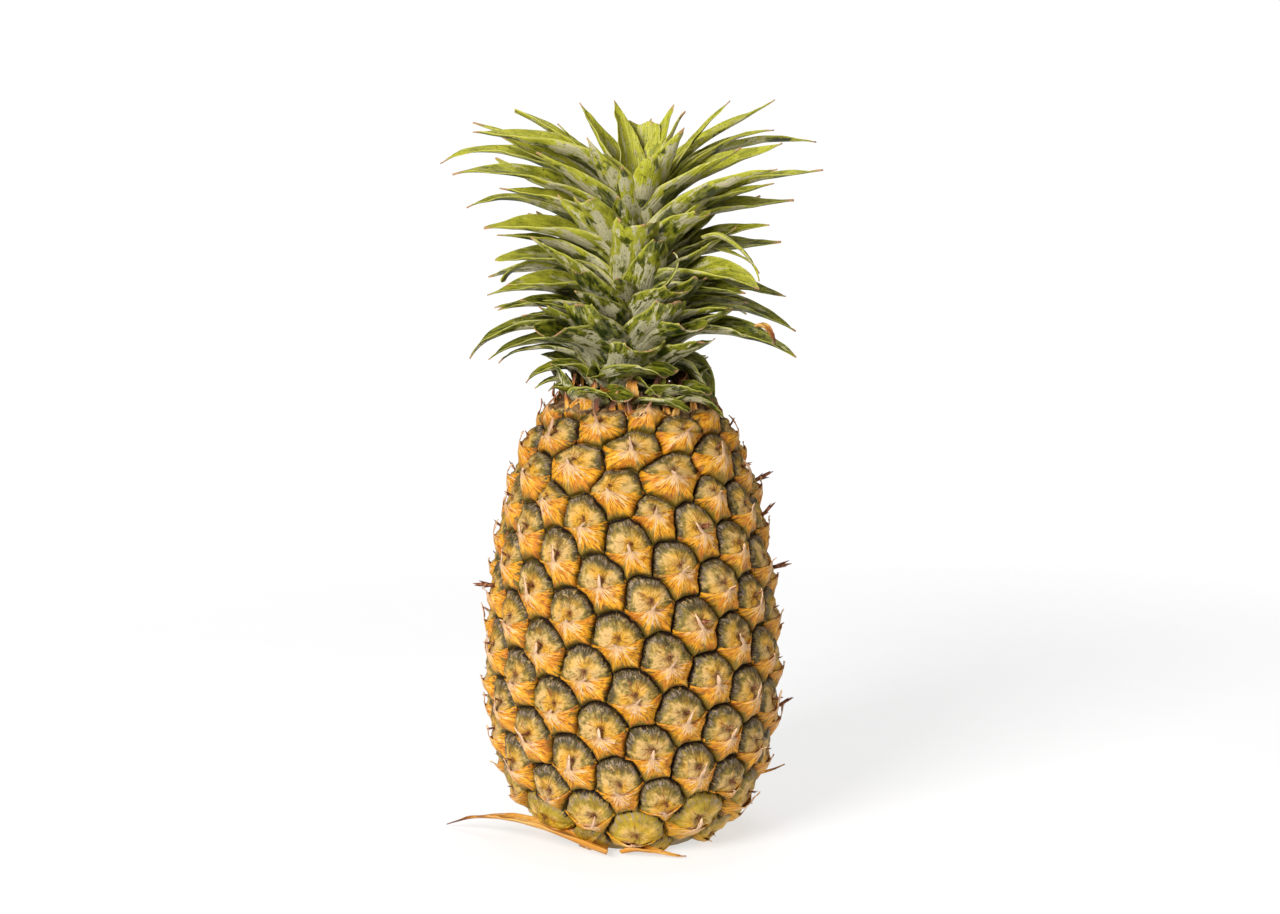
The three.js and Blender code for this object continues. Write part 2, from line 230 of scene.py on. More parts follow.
def new_material(name, roughness, bump=0.0003):
    """A material with its wiring and a function that joins colour, relief and roughness to the shader."""
    material = bpy.data.materials.new(name)
    material.use_nodes = True
    wiring = Wiring(material.node_tree)
    shader = material.node_tree.nodes["Principled BSDF"]
    shader.inputs["Roughness"].default_value = roughness
    shader.inputs["Specular IOR Level"].default_value = 0.3

    def join(colour, relief=None, rough=None):
        wiring.tree.links.new(colour, shader.inputs["Base Color"])
        if rough is not None:
            wiring.tree.links.new(rough, shader.inputs["Roughness"])
        if relief is not None:
            normal = wiring.node("Bump", {"Height": relief, "Distance": bump, "Strength": 1.0})
            wiring.tree.links.new(normal, shader.inputs["Normal"])

    return material, wiring, join


print("node helpers ready")

# %% [markdown]
# ## Floor
# The fruit stands on a plain white table. The table is a large disc that fades out before its rim, so
# that it melts into the white room and only the soft contact shadow tells where it is. It glows a
# little, or its grey would show against the room.

# %% Floor
FLOOR_RADIUS = 1.2
FADE_FROM, FADE_TO = 0.3, 0.9
DARK_SPECK, PALE_SPECK, GLOW = (0.41, 0.41, 0.41), (0.43, 0.43, 0.43), 0.62

bpy.ops.mesh.primitive_circle_add(vertices=96, radius=FLOOR_RADIUS, fill_type="NGON")
floor = bpy.context.object
floor.name = "floor"
bpy.ops.object.mode_set(mode="EDIT")
bpy.ops.mesh.inset(thickness=FLOOR_RADIUS - FADE_TO)
bpy.ops.object.mode_set(mode="OBJECT")
table_top, w, join = new_material("white_table", 0.9)
place = w.node("TexCoord", output="Object")
speckle = w.grain(place, 30.0)
sheet = w.tree.nodes["Principled BSDF"]
sheet.inputs["Emission Color"].default_value = (1, 1, 1, 1)
sheet.inputs["Emission Strength"].default_value = GLOW
join(w.ramp(speckle, [(0, DARK_SPECK), (1, PALE_SPECK)]))
far = w.vector("LENGTH", place, output="Value")
w.tree.links.new(w.rise(far, FADE_FROM, FADE_TO, 1.0, 0.0), sheet.inputs["Alpha"])
floor.data.materials.append(table_top)
print("floor faces:", len(floor.data.polygons))

# %% [markdown]
# ## The spiral of eyes
# Each eye grew a golden angle on from the eye before it and takes its own share of skin. The CAD model
# is built on this rule, so the lesson repeats the rule with the same numbers and then measures how far
# its eyes lie from the CAD's own corners: the answer has to be next to nothing.

# %% The fruit's outline
FRUIT_HEIGHT = 195
OUTLINE = [[29, 0], [43.5, 11], [56, 33], [61, 68], [59.5, 102], [55, 135], [46, 166], [35, 187], [24, 195]]
EYE_AREA, TOP_EYE_SHARE, EYE_SHRINK_FROM = 432, 0.78, 97
GOLDEN_ANGLE = math.radians(137.46)
EYE_PHASE, TOP_TWIST = math.radians(21), math.radians(9)
TWIST_HEIGHTS = (110, 200)
EYE_RISE = 1.7
BASE_RIM_POINTS, TOP_RIM_POINTS = 26, 18
TABLE_STEPS, OUTLINE_POINTS = 200, 2001


def smoothstep(value, low, high):
    share = np.clip((np.asarray(value, float) - low) / (high - low), 0, 1)
    return share * share * (3 - 2 * share)


def spline(knots, at):
    """Points of a smooth curve through the knots; at counts knots from the first one."""
    knots = np.asarray(knots, float)
    padded = np.vstack([knots[:1], knots, knots[-1:]])
    at = np.clip(at, 0, len(knots) - 1)
    start = np.minimum(at.astype(int), len(knots) - 2)
    t = (at - start)[:, None]
    before, first, second, after = (padded[start + k] for k in range(4))
    leave, arrive = (second - before) / 2, (after - first) / 2
    cubic = 2 * first - 2 * second + leave + arrive
    square = -3 * first + 3 * second - 2 * leave - arrive
    return cubic * t**3 + square * t**2 + leave * t + first


def even_spline(knots, count):
    """Points at equal steps along that curve."""
    share = np.linspace(0, len(knots) - 1, TABLE_STEPS + 1)
    rough = spline(knots, share)
    lengths = np.r_[0, np.cumsum(np.linalg.norm(np.diff(rough, axis=0), axis=1))]
    return spline(knots, np.interp(np.linspace(0, lengths[-1], count), lengths, share))


outline = even_spline(OUTLINE, OUTLINE_POINTS)
step = np.diff(outline, axis=0)
skin = np.pi * (outline[1:, 0] + outline[:-1, 0]) * np.linalg.norm(step, axis=1)
shrink = np.maximum(0, (outline[1:, 1] - EYE_SHRINK_FROM) / (FRUIT_HEIGHT - EYE_SHRINK_FROM))
eyes_below = np.r_[0, np.cumsum(skin / (EYE_AREA * (1 + (TOP_EYE_SHARE - 1) * shrink)))]
along = np.vstack([step[:1], outline[2:] - outline[:-2], step[-1:]])
along /= np.linalg.norm(along, axis=1)[:, None]
level = np.r_[0, np.cumsum(np.linalg.norm(step, axis=1) / outline[1:, 0])]
level -= level[-1] / 2
EYE_COUNT = int(eyes_below[-1])
print("eyes on the skin:", EYE_COUNT)

# %% Eye centres and rims
UNCLIPPED_EYES = slice(4, -6)


def compass(azimuth):
    """The direction of an azimuth: 0 is the front (-Y), a quarter turn is the right (+X)."""
    azimuth = np.asarray(azimuth, float)
    return np.stack([np.sin(azimuth), -np.cos(azimuth), 0 * azimuth], -1)


def onto_skin(points):
    """The nearest places on the mean skin at the same heights, and the skin's normals there."""
    z = np.clip(points[:, 2], 0, FRUIT_HEIGHT)
    out = compass(np.arctan2(points[:, 0], -points[:, 1]))
    profiles = outline[:, 0], along[:, 1], -along[:, 0]
    radius, lean_out, lean_up = (np.interp(z, outline[:, 1], profile) for profile in profiles)
    place = out * radius[:, None]
    place[:, 2] = z
    normal = out * lean_out[:, None]
    normal[:, 2] = lean_up
    return place, normal


numbers = np.arange(EYE_COUNT)
heights = outline[np.searchsorted(eyes_below, numbers + 0.5), 1]
azimuths = EYE_PHASE - numbers * GOLDEN_ANGLE - TOP_TWIST * smoothstep(heights, *TWIST_HEIGHTS)
eye_points = compass(azimuths)
eye_points[:, 2] = heights
eye_points, eye_normals = onto_skin(eye_points)


def rim(radius, z, count):
    ring = compass(np.arange(count) / count * 2 * np.pi) * radius
    ring[:, 2] = z
    return ring


knots = np.vstack([eye_points, rim(*OUTLINE[0], BASE_RIM_POINTS), rim(*OUTLINE[-1], TOP_RIM_POINTS)])

cad_corners = np.array([v.co for v in nodes["fruit"].data.vertices]) / MM
raised = eye_points + eye_normals * EYE_RISE
gaps = [np.linalg.norm(cad_corners - point, axis=1).min() for point in raised[UNCLIPPED_EYES]]
print("largest distance from the CAD's eyes, mm:", round(max(gaps), 3))

# %% [markdown]
# ## The cells
# To find each eye's neighbours, the skin is spread over a ball without skew and a hull is wrapped round
# the eyes there. The middle of each of its triangles is a corner where three seams meet. Real seams
# aren't straight: each eye's top swells up between the two above it, so every seam is bowed towards its
# upper neighbour. The bow gives an eye its round top and its bract the pointed wings and foot.

# %% Neighbours and seams
SEAM_STEPS = 7
SEAM_BOW, SEAM_JAG = 0.13, 0.6
JAG_SIZES = (2.3, 7)

knot_levels = np.interp(knots[:, 2], outline[:, 1], level)[:, None]
ball = compass(np.arctan2(knots[:, 0], -knots[:, 1])) / np.cosh(knot_levels)
ball[:, 2:] = np.tanh(knot_levels)
hull = bmesh.new()
for point in ball:
    hull.verts.new(point)
bmesh.ops.convex_hull(hull, input=hull.verts)
hull.verts.index_update()
triangles = []
for face in hull.faces:
    a, b, c = (v.index for v in face.verts)
    outwards = np.dot(np.cross(ball[b] - ball[a], ball[c] - ball[a]), ball[a] + ball[b] + ball[c]) > 0
    a, b, c = (a, b, c) if outwards else (a, c, b)
    triangles.append(min((a, b, c), (b, c, a), (c, a, b)))
hull.free()
triangles.sort()

after = {}
for index, (a, b, c) in enumerate(triangles):
    after[a, b], after[b, c], after[c, a] = (index, c), (index, a), (index, b)


def is_rim(knot):
    return knot >= EYE_COUNT


def is_cap(index):
    """Whether a triangle only closes the foot or the top."""
    return all(map(is_rim, triangles[index]))


skin_points = []
skin_depth = []


def add_point(point, depth):
    skin_points.append(point)
    skin_depth.append(depth)
    return len(skin_points) - 1


corner_of = {}
for index, corners in enumerate(triangles):
    if not is_cap(index):
        share = sum(not is_rim(k) for k in corners) / 3
        corner_of[index] = add_point(knots[list(corners)].mean(0), share)

seams = {}
for (a, b), (index, _) in after.items():
    if (b, a) in seams or is_rim(a) and is_rim(b):
        continue
    ends = corner_of.get(index), corner_of.get(after[b, a][0])
    start, end = (np.array(skin_points[e]) for e in ends)
    lower, upper = sorted((knots[a], knots[b]), key=lambda knot: knot[2])
    up = upper - lower
    bow = SEAM_BOW * np.linalg.norm(end - start) * up[2] / np.dot(up, up) * up
    depth = (skin_depth[ends[0]] + skin_depth[ends[1]]) / 2
    inner = []
    for t in np.arange(1, SEAM_STEPS) / SEAM_STEPS:
        point = start + (end - start) * t + bow * 4 * t * (1 - t)
        fine, broad = (np.array(noise.noise_vector(Vector(point) / size)) for size in JAG_SIZES)
        point += SEAM_JAG * fine + 2 * SEAM_JAG * broad
        inner.append(add_point(point, depth))
    seams[a, b] = [ends[0], *inner, ends[1]]
    seams[b, a] = seams[a, b][::-1]
print("seams:", len(seams) // 2, " corners:", len(corner_of))

# %% Walk round each cell
def cell_border(knot):
    """The knot's seam points anticlockwise, the neighbour behind each, and whether the walk closes."""
    around = [pair for pair in after if pair[0] == knot]
    starts = [(a, b) for a, b in around if is_cap(after[b, a][0])]
    pair = (starts or around)[0]
    border, behind = [], []
    for _ in around:
        index, third = after[pair]
        if is_cap(index):
            break
        if (knot, third) in seams:
            points = seams[third, knot] if seams[third, knot][0] == corner_of[index] else seams[knot, third]
            border += points[:-1]
            behind += [third] * (len(points) - 1)
        else:
            border.append(corner_of[index])
            behind.append(third)
        pair = (knot, third)
    return border, behind, not starts


borders = {knot: cell_border(knot) for knot in range(EYE_COUNT)}
print("seam points round an eye:", sorted({len(border) for border, _, _ in borders.values()}))

# %% [markdown]
# ## An eye as a round patch
# Every eye is drawn once on a disc of radius one: the wings of its bract end at the disc's left and
# right, its foot is at the bottom. The disc is then stretched until its edge lies on the cell's seams.
# Shape, colour and bract all use the disc's two coordinates, so they always agree with each other.

# %% Stretch a disc over a cell
FOOT_DIRECTION, LEAST_TURN = math.radians(262), 0.2
rng = np.random.default_rng(SEED)


class Cell:
    """One eye's place on the fruit and the way from its disc to the skin."""

    def __init__(self, knot):
        self.knot = knot
        self.centre, self.normal = eye_points[knot], eye_normals[knot]
        self.border, behind, self.closed = borders[knot]
        right = np.array([math.cos(azimuths[knot]), math.sin(azimuths[knot]), 0])
        up = np.cross(self.normal, right)
        self.edge = np.array([skin_points[i] for i in self.border])
        self.depth = np.array([skin_depth[i] for i in self.border])
        arms = self.edge - self.centre
        turn = np.arctan2(arms @ up, arms @ right) % (2 * np.pi)
        upper = np.array([knots[k][2] > self.centre[2] for k in behind])
        rises = np.flatnonzero(upper & ~np.roll(upper, 1))
        falls = np.flatnonzero(~upper & np.roll(upper, 1))
        corners = [i for i in range(len(behind)) if behind[i] != behind[i - 1]]

        def nearest(marks, angle):
            return turn[min(marks, key=lambda i: abs((turn[i] - angle + np.pi) % (2 * np.pi) - np.pi))]

        right_wing = (nearest(rises, 0) + np.pi) % (2 * np.pi) - np.pi
        left_wing = nearest(falls, np.pi)
        foot = nearest(corners, FOOT_DIRECTION)
        from_turns = [right_wing, np.pi / 2, left_wing, foot, right_wing + 2 * np.pi]
        if np.any(np.diff(from_turns) < LEAST_TURN):
            from_turns = [0, np.pi / 2, np.pi, 1.5 * np.pi, 2 * np.pi]
        turn = (turn - from_turns[0]) % (2 * np.pi) + from_turns[0]
        self.angle = np.interp(turn, from_turns, np.arange(5) * np.pi / 2)
        self.seed = rng.random(6)

    def spread(self, x, y):
        """Places on the mean skin, and normals there, for disc coordinates."""
        angle = np.arctan2(y, x) % (2 * np.pi)
        order = np.argsort(self.angle)
        edge = [np.interp(angle, self.angle[order], self.edge[order, k], period=2 * np.pi) for k in range(3)]
        return onto_skin(self.centre + np.hypot(x, y)[..., None] * (np.stack(edge, -1) - self.centre))


cells = [Cell(knot) for knot in range(EYE_COUNT)]
print("cells:", len(cells), " open ones:", sum(not cell.closed for cell in cells))

# %% The relief of an eye
DOME, DOME_POWER = 3.4, 2.2
WALL_DEPTH, WALL_FROM = 2.3, 0.89
PIT, PIT_DEPTH, PIT_WIDTH = (0.02, 0.2), 1.5, 0.13
CREASES = [math.radians(angle) for angle in (42, 140, -8, 190)]
CREASE_DEPTH, CREASE_WIDTH, CREASE_START, CREASE_END = 0.9, 0.085, 0.15, 0.75


def dome(x, y, seed):
    """The swell of an eye over the mean skin, in millimetres."""
    return DOME * (0.8 + 0.4 * seed[0]) * (1 - np.minimum(np.hypot(x, y), 1) ** DOME_POWER)


def relief(x, y, seed):
    """The whole relief of an eye: swell, seam, pit and the creases between its sepals."""
    radius = np.hypot(x, y)
    height = dome(x, y, seed) - WALL_DEPTH * smoothstep(radius, WALL_FROM, 1)
    from_pit = np.hypot(x - PIT[0], y - PIT[1])
    height -= PIT_DEPTH * np.exp(-((from_pit / PIT_WIDTH) ** 2))
    for crease in CREASES:
        across = (y - PIT[1]) * math.cos(crease) - (x - PIT[0]) * math.sin(crease)
        ahead = (x - PIT[0]) * math.cos(crease) + (y - PIT[1]) * math.sin(crease)
        ends = smoothstep(ahead, 0, CREASE_START) * (1 - smoothstep(radius, CREASE_END, 1))
        height -= CREASE_DEPTH * np.exp(-((across / CREASE_WIDTH) ** 2)) * ends
    return height


def lumps(points, size, amount):
    """A little unevenness, the same each time."""
    return np.array([noise.noise(Vector(p) / size) for p in points]) * amount


print("relief at the top of a dome, mm:", round(float(relief(0.4, 0.3, [0.5])), 2))

# %% The skin as one mesh
RINGS = (0.1, 0.2, 0.32, 0.45, 0.58, 0.7, 0.8, 0.88, 0.94, 0.975)
RIM_RELIEF = 0.4
FINE_LUMPS, BROAD_LUMPS = (1.6, 0.22), (4.5, 0.9)
RIM_PLACE, RIM_KIND = (0, -0.97), (0.5, 0.95)


def add_maps(mesh, **maps):
    """Stores one pair of numbers per face corner under each name."""
    for name, values in maps.items():
        layer = mesh.uv_layers.new(name=name, do_init=False)
        layer.uv.foreach_set("vector", np.asarray(values, np.float32).ravel())


def new_piece(name, points, faces, **maps):
    """A mesh object from points in millimetres."""
    mesh = bpy.data.meshes.new(name)
    points = np.array(points)
    points[:, 2] = np.maximum(points[:, 2], 0)
    mesh.from_pydata((points * MM).tolist(), [], faces)
    add_maps(mesh, **maps)
    made = bpy.data.objects.new(name, mesh)
    bpy.context.collection.objects.link(made)
    mesh.shade_smooth()
    return made


edge_place, edge_normal = onto_skin(np.array(skin_points))
depths = np.array(skin_depth)
points = list(edge_place - edge_normal * (WALL_DEPTH * depths)[:, None])
rim_start = len(points)
points += list(knots[EYE_COUNT:])
faces, places, kinds = [], [], []


def add_face(corners, on_disc, kind):
    faces.append(tuple(int(corner) for corner in corners))
    places.extend(on_disc)
    kinds.extend([kind] * len(corners))


for cell in cells:
    count = len(cell.border)
    radius = np.array(RINGS)[:, None]
    x, y = radius * np.cos(cell.angle), radius * np.sin(cell.angle)
    flat = cell.centre + radius[..., None] * (cell.edge - cell.centre)
    place, normal = onto_skin(flat.reshape(-1, 3))
    height = relief(x, y, cell.seed) * (RIM_RELIEF + (1 - RIM_RELIEF) * cell.depth)
    height = height.ravel() + lumps(place, *FINE_LUMPS) + lumps(place, *BROAD_LUMPS)
    first = len(points)
    points.append(cell.centre + cell.normal * float(relief(0, 0, cell.seed)))
    points += list(place + normal * height[:, None])
    rows = np.vstack([np.arange(first + 1, len(points)).reshape(-1, count), cell.border])
    x = np.vstack([x, np.cos(cell.angle)])
    y = np.vstack([y, np.sin(cell.angle)])
    kind = (cell.seed[1], cell.centre[2] / FRUIT_HEIGHT)
    for i in range(count):
        j = (i + 1) % count
        add_face((first, rows[0, i], rows[0, j]), [(0, 0), (x[0, i], y[0, i]), (x[0, j], y[0, j])], kind)
        for r in range(len(rows) - 1):
            around = (r, i), (r + 1, i), (r + 1, j), (r, j)
            add_face([rows[spot] for spot in around], [(x[spot], y[spot]) for spot in around], kind)
for (a, b), (index, _) in after.items():
    if is_cap(index):
        continue
    if is_rim(a) and is_rim(b):
        strip = [(rim_start + a - EYE_COUNT, rim_start + b - EYE_COUNT, corner_of[index])]
    elif is_rim(a) and (a, b) in seams:
        seam = seams[a, b] if seams[a, b][-1] == corner_of[index] else seams[b, a]
        strip = [(rim_start + a - EYE_COUNT, p, q) for p, q in zip(seam[:-1], seam[1:])]
    else:
        continue
    for corners in strip:
        add_face(corners, [RIM_PLACE] * 3, RIM_KIND)
fruit = new_piece("fruit_skin", points, faces, eye_place=np.array(places) / 2 + 0.5, eye_kind=kinds)
print("skin corners:", len(points), " faces:", len(faces))

# %% [markdown]
# The skin still has two holes: a round one under the foot, where the stalk was cut, and one at the top
# for the crown. Both are closed as by hand: the rim is extruded, drawn in, pushed inwards and filled.

# %% Close the foot and the top
STALK_HOLE, STALK_HOLE_DEPTH = 12.85, 10.35
SOCKET, SOCKET_FLOOR, SOCKET_SHIFT = 15.3, 187.6, -2.0
MERGE_DISTANCE = 1e-6


def select_only(test, kind="edges"):
    """In edit mode, selects just the edges or faces that pass the test."""
    bpy.ops.mesh.select_all(action="DESELECT")
    mesh = bmesh.from_edit_mesh(bpy.context.object.data)
    for part in getattr(mesh, kind):
        part.select = bool(test(part))
    mesh.select_flush_mode()
    bmesh.update_edit_mesh(bpy.context.object.data)


def take_up(piece, select_mode="EDGE"):
    """Makes the piece the only selected one and opens it in edit mode."""
    bpy.ops.object.select_all(action="DESELECT")
    bpy.context.view_layer.objects.active = piece
    piece.select_set(True)
    bpy.ops.object.mode_set(mode="EDIT")
    bpy.ops.mesh.select_mode(type=select_mode)


take_up(fruit)
for z, hole, floor_z, shift in (
    (0, STALK_HOLE / OUTLINE[0][0], STALK_HOLE_DEPTH, 0),
    (FRUIT_HEIGHT, SOCKET / OUTLINE[-1][0], SOCKET_FLOOR, SOCKET_SHIFT),
):
    select_only(lambda e: e.is_boundary and all(abs(v.co.z - z * MM) < 0.01 * MM for v in e.verts))
    bpy.ops.mesh.extrude_edges_move()
    bpy.ops.transform.resize(value=(hole, hole, 1), center_override=(0, 0, z * MM))
    bpy.ops.transform.translate(value=(shift * MM, 0, 0))
    bpy.ops.mesh.extrude_edges_move()
    bpy.ops.transform.translate(value=(0, 0, (floor_z - z) * MM))
    bpy.ops.mesh.edge_face_add()
bpy.ops.mesh.select_all(action="SELECT")
bpy.ops.mesh.remove_doubles(threshold=MERGE_DISTANCE)
bpy.ops.mesh.normals_make_consistent(inside=False)
bpy.ops.object.mode_set(mode="OBJECT")
check = bmesh.new()
check.from_mesh(fruit.data)
print("skin volume, ml:", round(check.calc_volume() * 1e6))
print("open edges:", sum(e.is_boundary for e in check.edges))
print("triangles:", sum(len(f.verts) - 2 for f in check.faces))
check.free()

# %% [markdown]
# ## One bract, copied to every eye
# Below each eye sits a bract, a small leaf with a papery tip that once covered the flower. One bract
# is modelled flat on the disc: a grid whose top edge is drawn into two wings, with its middle edges
# extruded and narrowed into the tip. It is then given its thickness. Each eye gets its own copy.

# %% Model the bract
BRACT_COLUMNS, BRACT_ROWS = 12, 3
BRACT_WIDTH, BRACT_FOOT, COLUMN_POWER = 0.975, 0.955, 1.25
TIP_HALF = 0.3
TIP_STEPS = ((0.05, 0.8), (0.08, 0.76), (0.11, 0.8), (0.13, 0.74), (0.1, 0.4))
BRACT_THICKNESS = 0.35


def wing_line(x):
    """Height on the disc of the bract's upper edge."""
    return -0.2 + 0.33 * np.abs(x) ** 1.6 + 0.16 * np.exp(-((x / 0.2) ** 2))


bpy.ops.object.select_all(action="DESELECT")
bpy.ops.mesh.primitive_grid_add(x_subdivisions=BRACT_COLUMNS, y_subdivisions=BRACT_ROWS, size=2)
bract = bpy.context.object
bract.name = "bract_pattern"
for vertex in bract.data.vertices:
    across, up = vertex.co.x, (vertex.co.y + 1) / 2
    x = BRACT_WIDTH * math.copysign(abs(across) ** COLUMN_POWER, across)
    low = -BRACT_FOOT * math.sqrt(1 - x * x)
    vertex.co = (x, low + (wing_line(x) - low) * up, 0)
take_up(bract)
select_only(lambda e: e.is_boundary and all(abs(v.co.x) < TIP_HALF and v.co.y > -0.1 for v in e.verts))
top = float(wing_line(0))
for climb, narrow in TIP_STEPS:
    bpy.ops.mesh.extrude_edges_move()
    top += climb
    bpy.ops.transform.translate(value=(0, climb, 0))
    bpy.ops.transform.resize(value=(narrow, 1, 1), center_override=(0, top, 0))
bpy.ops.object.mode_set(mode="OBJECT")
bract_points = np.array([v.co for v in bract.data.vertices])
bract_faces = [tuple(p.vertices) for p in bract.data.polygons]
bract_corners = np.concatenate([p.vertices for p in bract.data.polygons])
bpy.data.objects.remove(bract)
print("bract faces:", len(bract_faces), " tip at", round(top, 2))

# %% Fit a copy to every eye
EDGE_LIFT, FOOT_LIFT, TIP_LIFT = 0.95, -0.5, 1.5
KEEL_LIFT, CRUMPLE, WING_DROP = 0.7, 0.6, 1.0
TIP_SPAN, TIP_ROOT_HALF = top - float(wing_line(0)), 0.4
BRACT_LUMPS = (2.2, 0.35)
SHORT_SHARE, SHORT_TIP = 0.2, 0.25
UPPER_ROWS = (160, 190)


def fitted_bract(cell, length, lean, lift):
    """The bract's points on this eye, in millimetres."""
    x, y = bract_points[:, 0], bract_points[:, 1]
    edge = wing_line(x)
    in_tip = np.clip((y - edge) / TIP_SPAN, 0, 1) * (np.abs(x) < TIP_ROOT_HALF)
    foot = -BRACT_FOOT * np.sqrt(1 - np.minimum(x * x, 0.96))
    up = np.clip((y - foot) / np.maximum(edge - foot, 0.02), 0, 1)
    y = np.where(in_tip > 0, edge + (y - edge) * length, y)
    x = x + lean * in_tip
    place, normal = cell.spread(x, y)
    height = dome(x, y, cell.seed) + FOOT_LIFT + (EDGE_LIFT - FOOT_LIFT) * smoothstep(up, 0.05, 0.9)
    keel = np.where(in_tip > 0, 1, up * np.exp(-((x / TIP_HALF) ** 2)))
    height += KEEL_LIFT * keel + TIP_LIFT * lift * in_tip**2
    height += CRUMPLE * in_tip * np.sin(9 * x / TIP_HALF + 6 * cell.seed[0])
    height -= WING_DROP * smoothstep(np.abs(x), TIP_HALF, 0.95)
    height *= 0.5 + 0.5 * cell.depth.mean()
    return place + normal * (height + lumps(place, *BRACT_LUMPS))[:, None]


points, faces, places, kinds = [], [], [], []
for cell in cells:
    s = cell.seed
    upper_row = float(smoothstep(cell.centre[2], *UPPER_ROWS))
    length = SHORT_TIP if s[3] < SHORT_SHARE else SHORT_TIP + 1.05 * s[3] ** 1.5 + 0.6 * upper_row
    fitted = fitted_bract(cell, length, 0.5 * (s[4] - 0.45), 0.1 + 1.5 * s[5] ** 2 + upper_row)
    faces += [tuple(v + len(points) for v in face) for face in bract_faces]
    points += list(fitted)
    places.append(bract_points[bract_corners, :2] / 2 + 0.5)
    kinds += [(s[1], cell.centre[2] / FRUIT_HEIGHT)] * len(bract_corners)
bracts = new_piece("eye_bracts", points, faces, eye_place=np.vstack(places), eye_kind=kinds)
take_up(bracts)
bpy.ops.object.mode_set(mode="OBJECT")
thickness = bracts.modifiers.new("thickness", "SOLIDIFY")
thickness.thickness = BRACT_THICKNESS * MM
thickness.offset = -1
bpy.ops.object.modifier_apply(modifier=thickness.name)
print("bracts:", len(cells), " faces:", len(bracts.data.polygons))

# %% [markdown]
# ## The colours of an eye
# Colour follows the disc: the sepals are olive and grey with a cream middle and a frosted upper rim,
# the bract runs in streaks from a pinkish white at the root of its tip, through orange and gold, to
# olive at its foot, and the seam is nearly black: partly its own dark dried edge, partly painted shade in
# the gap along the eye's top, where the band is widest. One group measures the place on the disc, and
# two more give the colours of sepals and bract, so the skin and the loose bracts match.

# %% Node group: where on the eye
FLOATS = ("Up", "Radius", "From tip", "Streaks", "Fine streaks", "Pit rays", "Blotches")

w, given, end = new_group(
    "eye_measures",
    {"Place": "Vector", "Seed": "Float"},
    {"Disc": "Vector", **dict.fromkeys(FLOATS, "Float")},
)
disc = w.stretch(given["Place"], (2, 2, 0), (-1, -1, 0))
apart = w.times(given["Seed"], 41.0)
shift = w.node("CombineXYZ", {"Z": apart})
from_tip = w.vector("SUBTRACT", disc, (0.0, -0.02, 0.0))
heading = w.vector("ADD", w.vector("NORMALIZE", from_tip), shift)
reach = w.vector("LENGTH", from_tip, output="Value")
waver = w.vector("MULTIPLY_ADD", w.vector("ADD", disc, shift), (0.35, 0.35, 0.0), heading)
from_pit = w.vector("NORMALIZE", w.vector("SUBTRACT", disc, (*PIT, 0.0)))
apart_from_pit = w.vector("ADD", from_pit, shift)
from_pit = w.vector("MULTIPLY_ADD", w.vector("ADD", disc, shift), (0.5, 0.5, 0.0), apart_from_pit)
finish_group(
    w,
    end,
    {
        "Disc": disc,
        "Up": w.parts(disc)["Y"],
        "Radius": w.vector("LENGTH", disc, output="Value"),
        "From tip": reach,
        "Streaks": w.grain(waver, 4.5, 3.0, 0.6),
        "Fine streaks": w.grain(waver, 13.0, 3.0, 0.65),
        "Pit rays": w.grain(from_pit, 5.5, 3.0, 0.6),
        "Blotches": w.grain(w.vector("ADD", disc, shift), 2.6, 3.0, 0.6),
    },
)
print("group:", w.tree.name)

# %% Node group: bract colour
PINK_WHITE, CREAM = (0.80, 0.50, 0.27), (0.82, 0.49, 0.11)
GOLD, ORANGE = (0.75, 0.33, 0.008), (0.54, 0.15, 0.006)
OLIVE, RUST, LOW_GREEN = (0.15, 0.11, 0.014), (0.27, 0.06, 0.01), (0.64, 0.43, 0.012)

EYE_TAKES = {"Place": "Vector", "Seed": "Float", "Height": "Float"}
EYE_GIVES = {"Color": "Color", "Relief": "Float"}

w, given, end = new_group("bract_colour", EYE_TAKES, EYE_GIVES)
at = use_group(w, "eye_measures", {"Place": given["Place"], "Seed": given["Seed"]})
wobble = w.line(at["Streaks"], 2.0, -1.0)
reach = w.plus(at["From tip"], wobble)
from_pink_to_gold = [(0.0, PINK_WHITE), (0.28, PINK_WHITE), (0.42, CREAM), (0.54, GOLD)]
colour = w.ramp(reach, [*from_pink_to_gold, (0.88, GOLD), (1.1, OLIVE)])
warm = w.rise(at["Blotches"], 0.42, 0.66)
colour = w.blend(w.times(warm, w.rise(reach, 0.2, 0.5, 0.0, 0.75)), colour, ORANGE)
lines = w.rise(at["Fine streaks"], 0.51, 0.62, 0.0, 0.85)
colour = w.blend(w.times(lines, w.rise(at["From tip"], 0.04, 0.3)), colour, RUST)
pale_lines = w.rise(at["Fine streaks"], 0.47, 0.36, 0.0, 0.75)
colour = w.blend(w.times(pale_lines, w.rise(reach, 0.85, 0.5)), colour, CREAM)
foot = w.rise(w.plus(at["Up"], w.times(wobble, 0.6)), -0.6, -0.95, 0.0, 0.9)
colour = w.blend(foot, colour, OLIVE)
ripe = w.times(w.rise(given["Height"], 0.15, 0.05, 0.0, 0.45), w.rise(at["Blotches"], 0.4, 0.55))
colour = w.blend(w.times(ripe, w.rise(at["From tip"], 0.2, 0.5)), colour, LOW_GREEN)
finish_group(w, end, {"Color": colour, "Relief": w.plus(at["Fine streaks"], at["Streaks"])})
print("group:", w.tree.name)

# %% Node group: sepal colour
SEPAL_CREAM, SEPAL_GREEN, SEPAL_OLIVE = (0.63, 0.40, 0.135), (0.25, 0.175, 0.027), (0.06, 0.043, 0.008)
SEPAL_YELLOW, FROST, PIT_BROWN = (0.71, 0.355, 0.015), (0.30, 0.22, 0.17), (0.12, 0.022, 0.006)

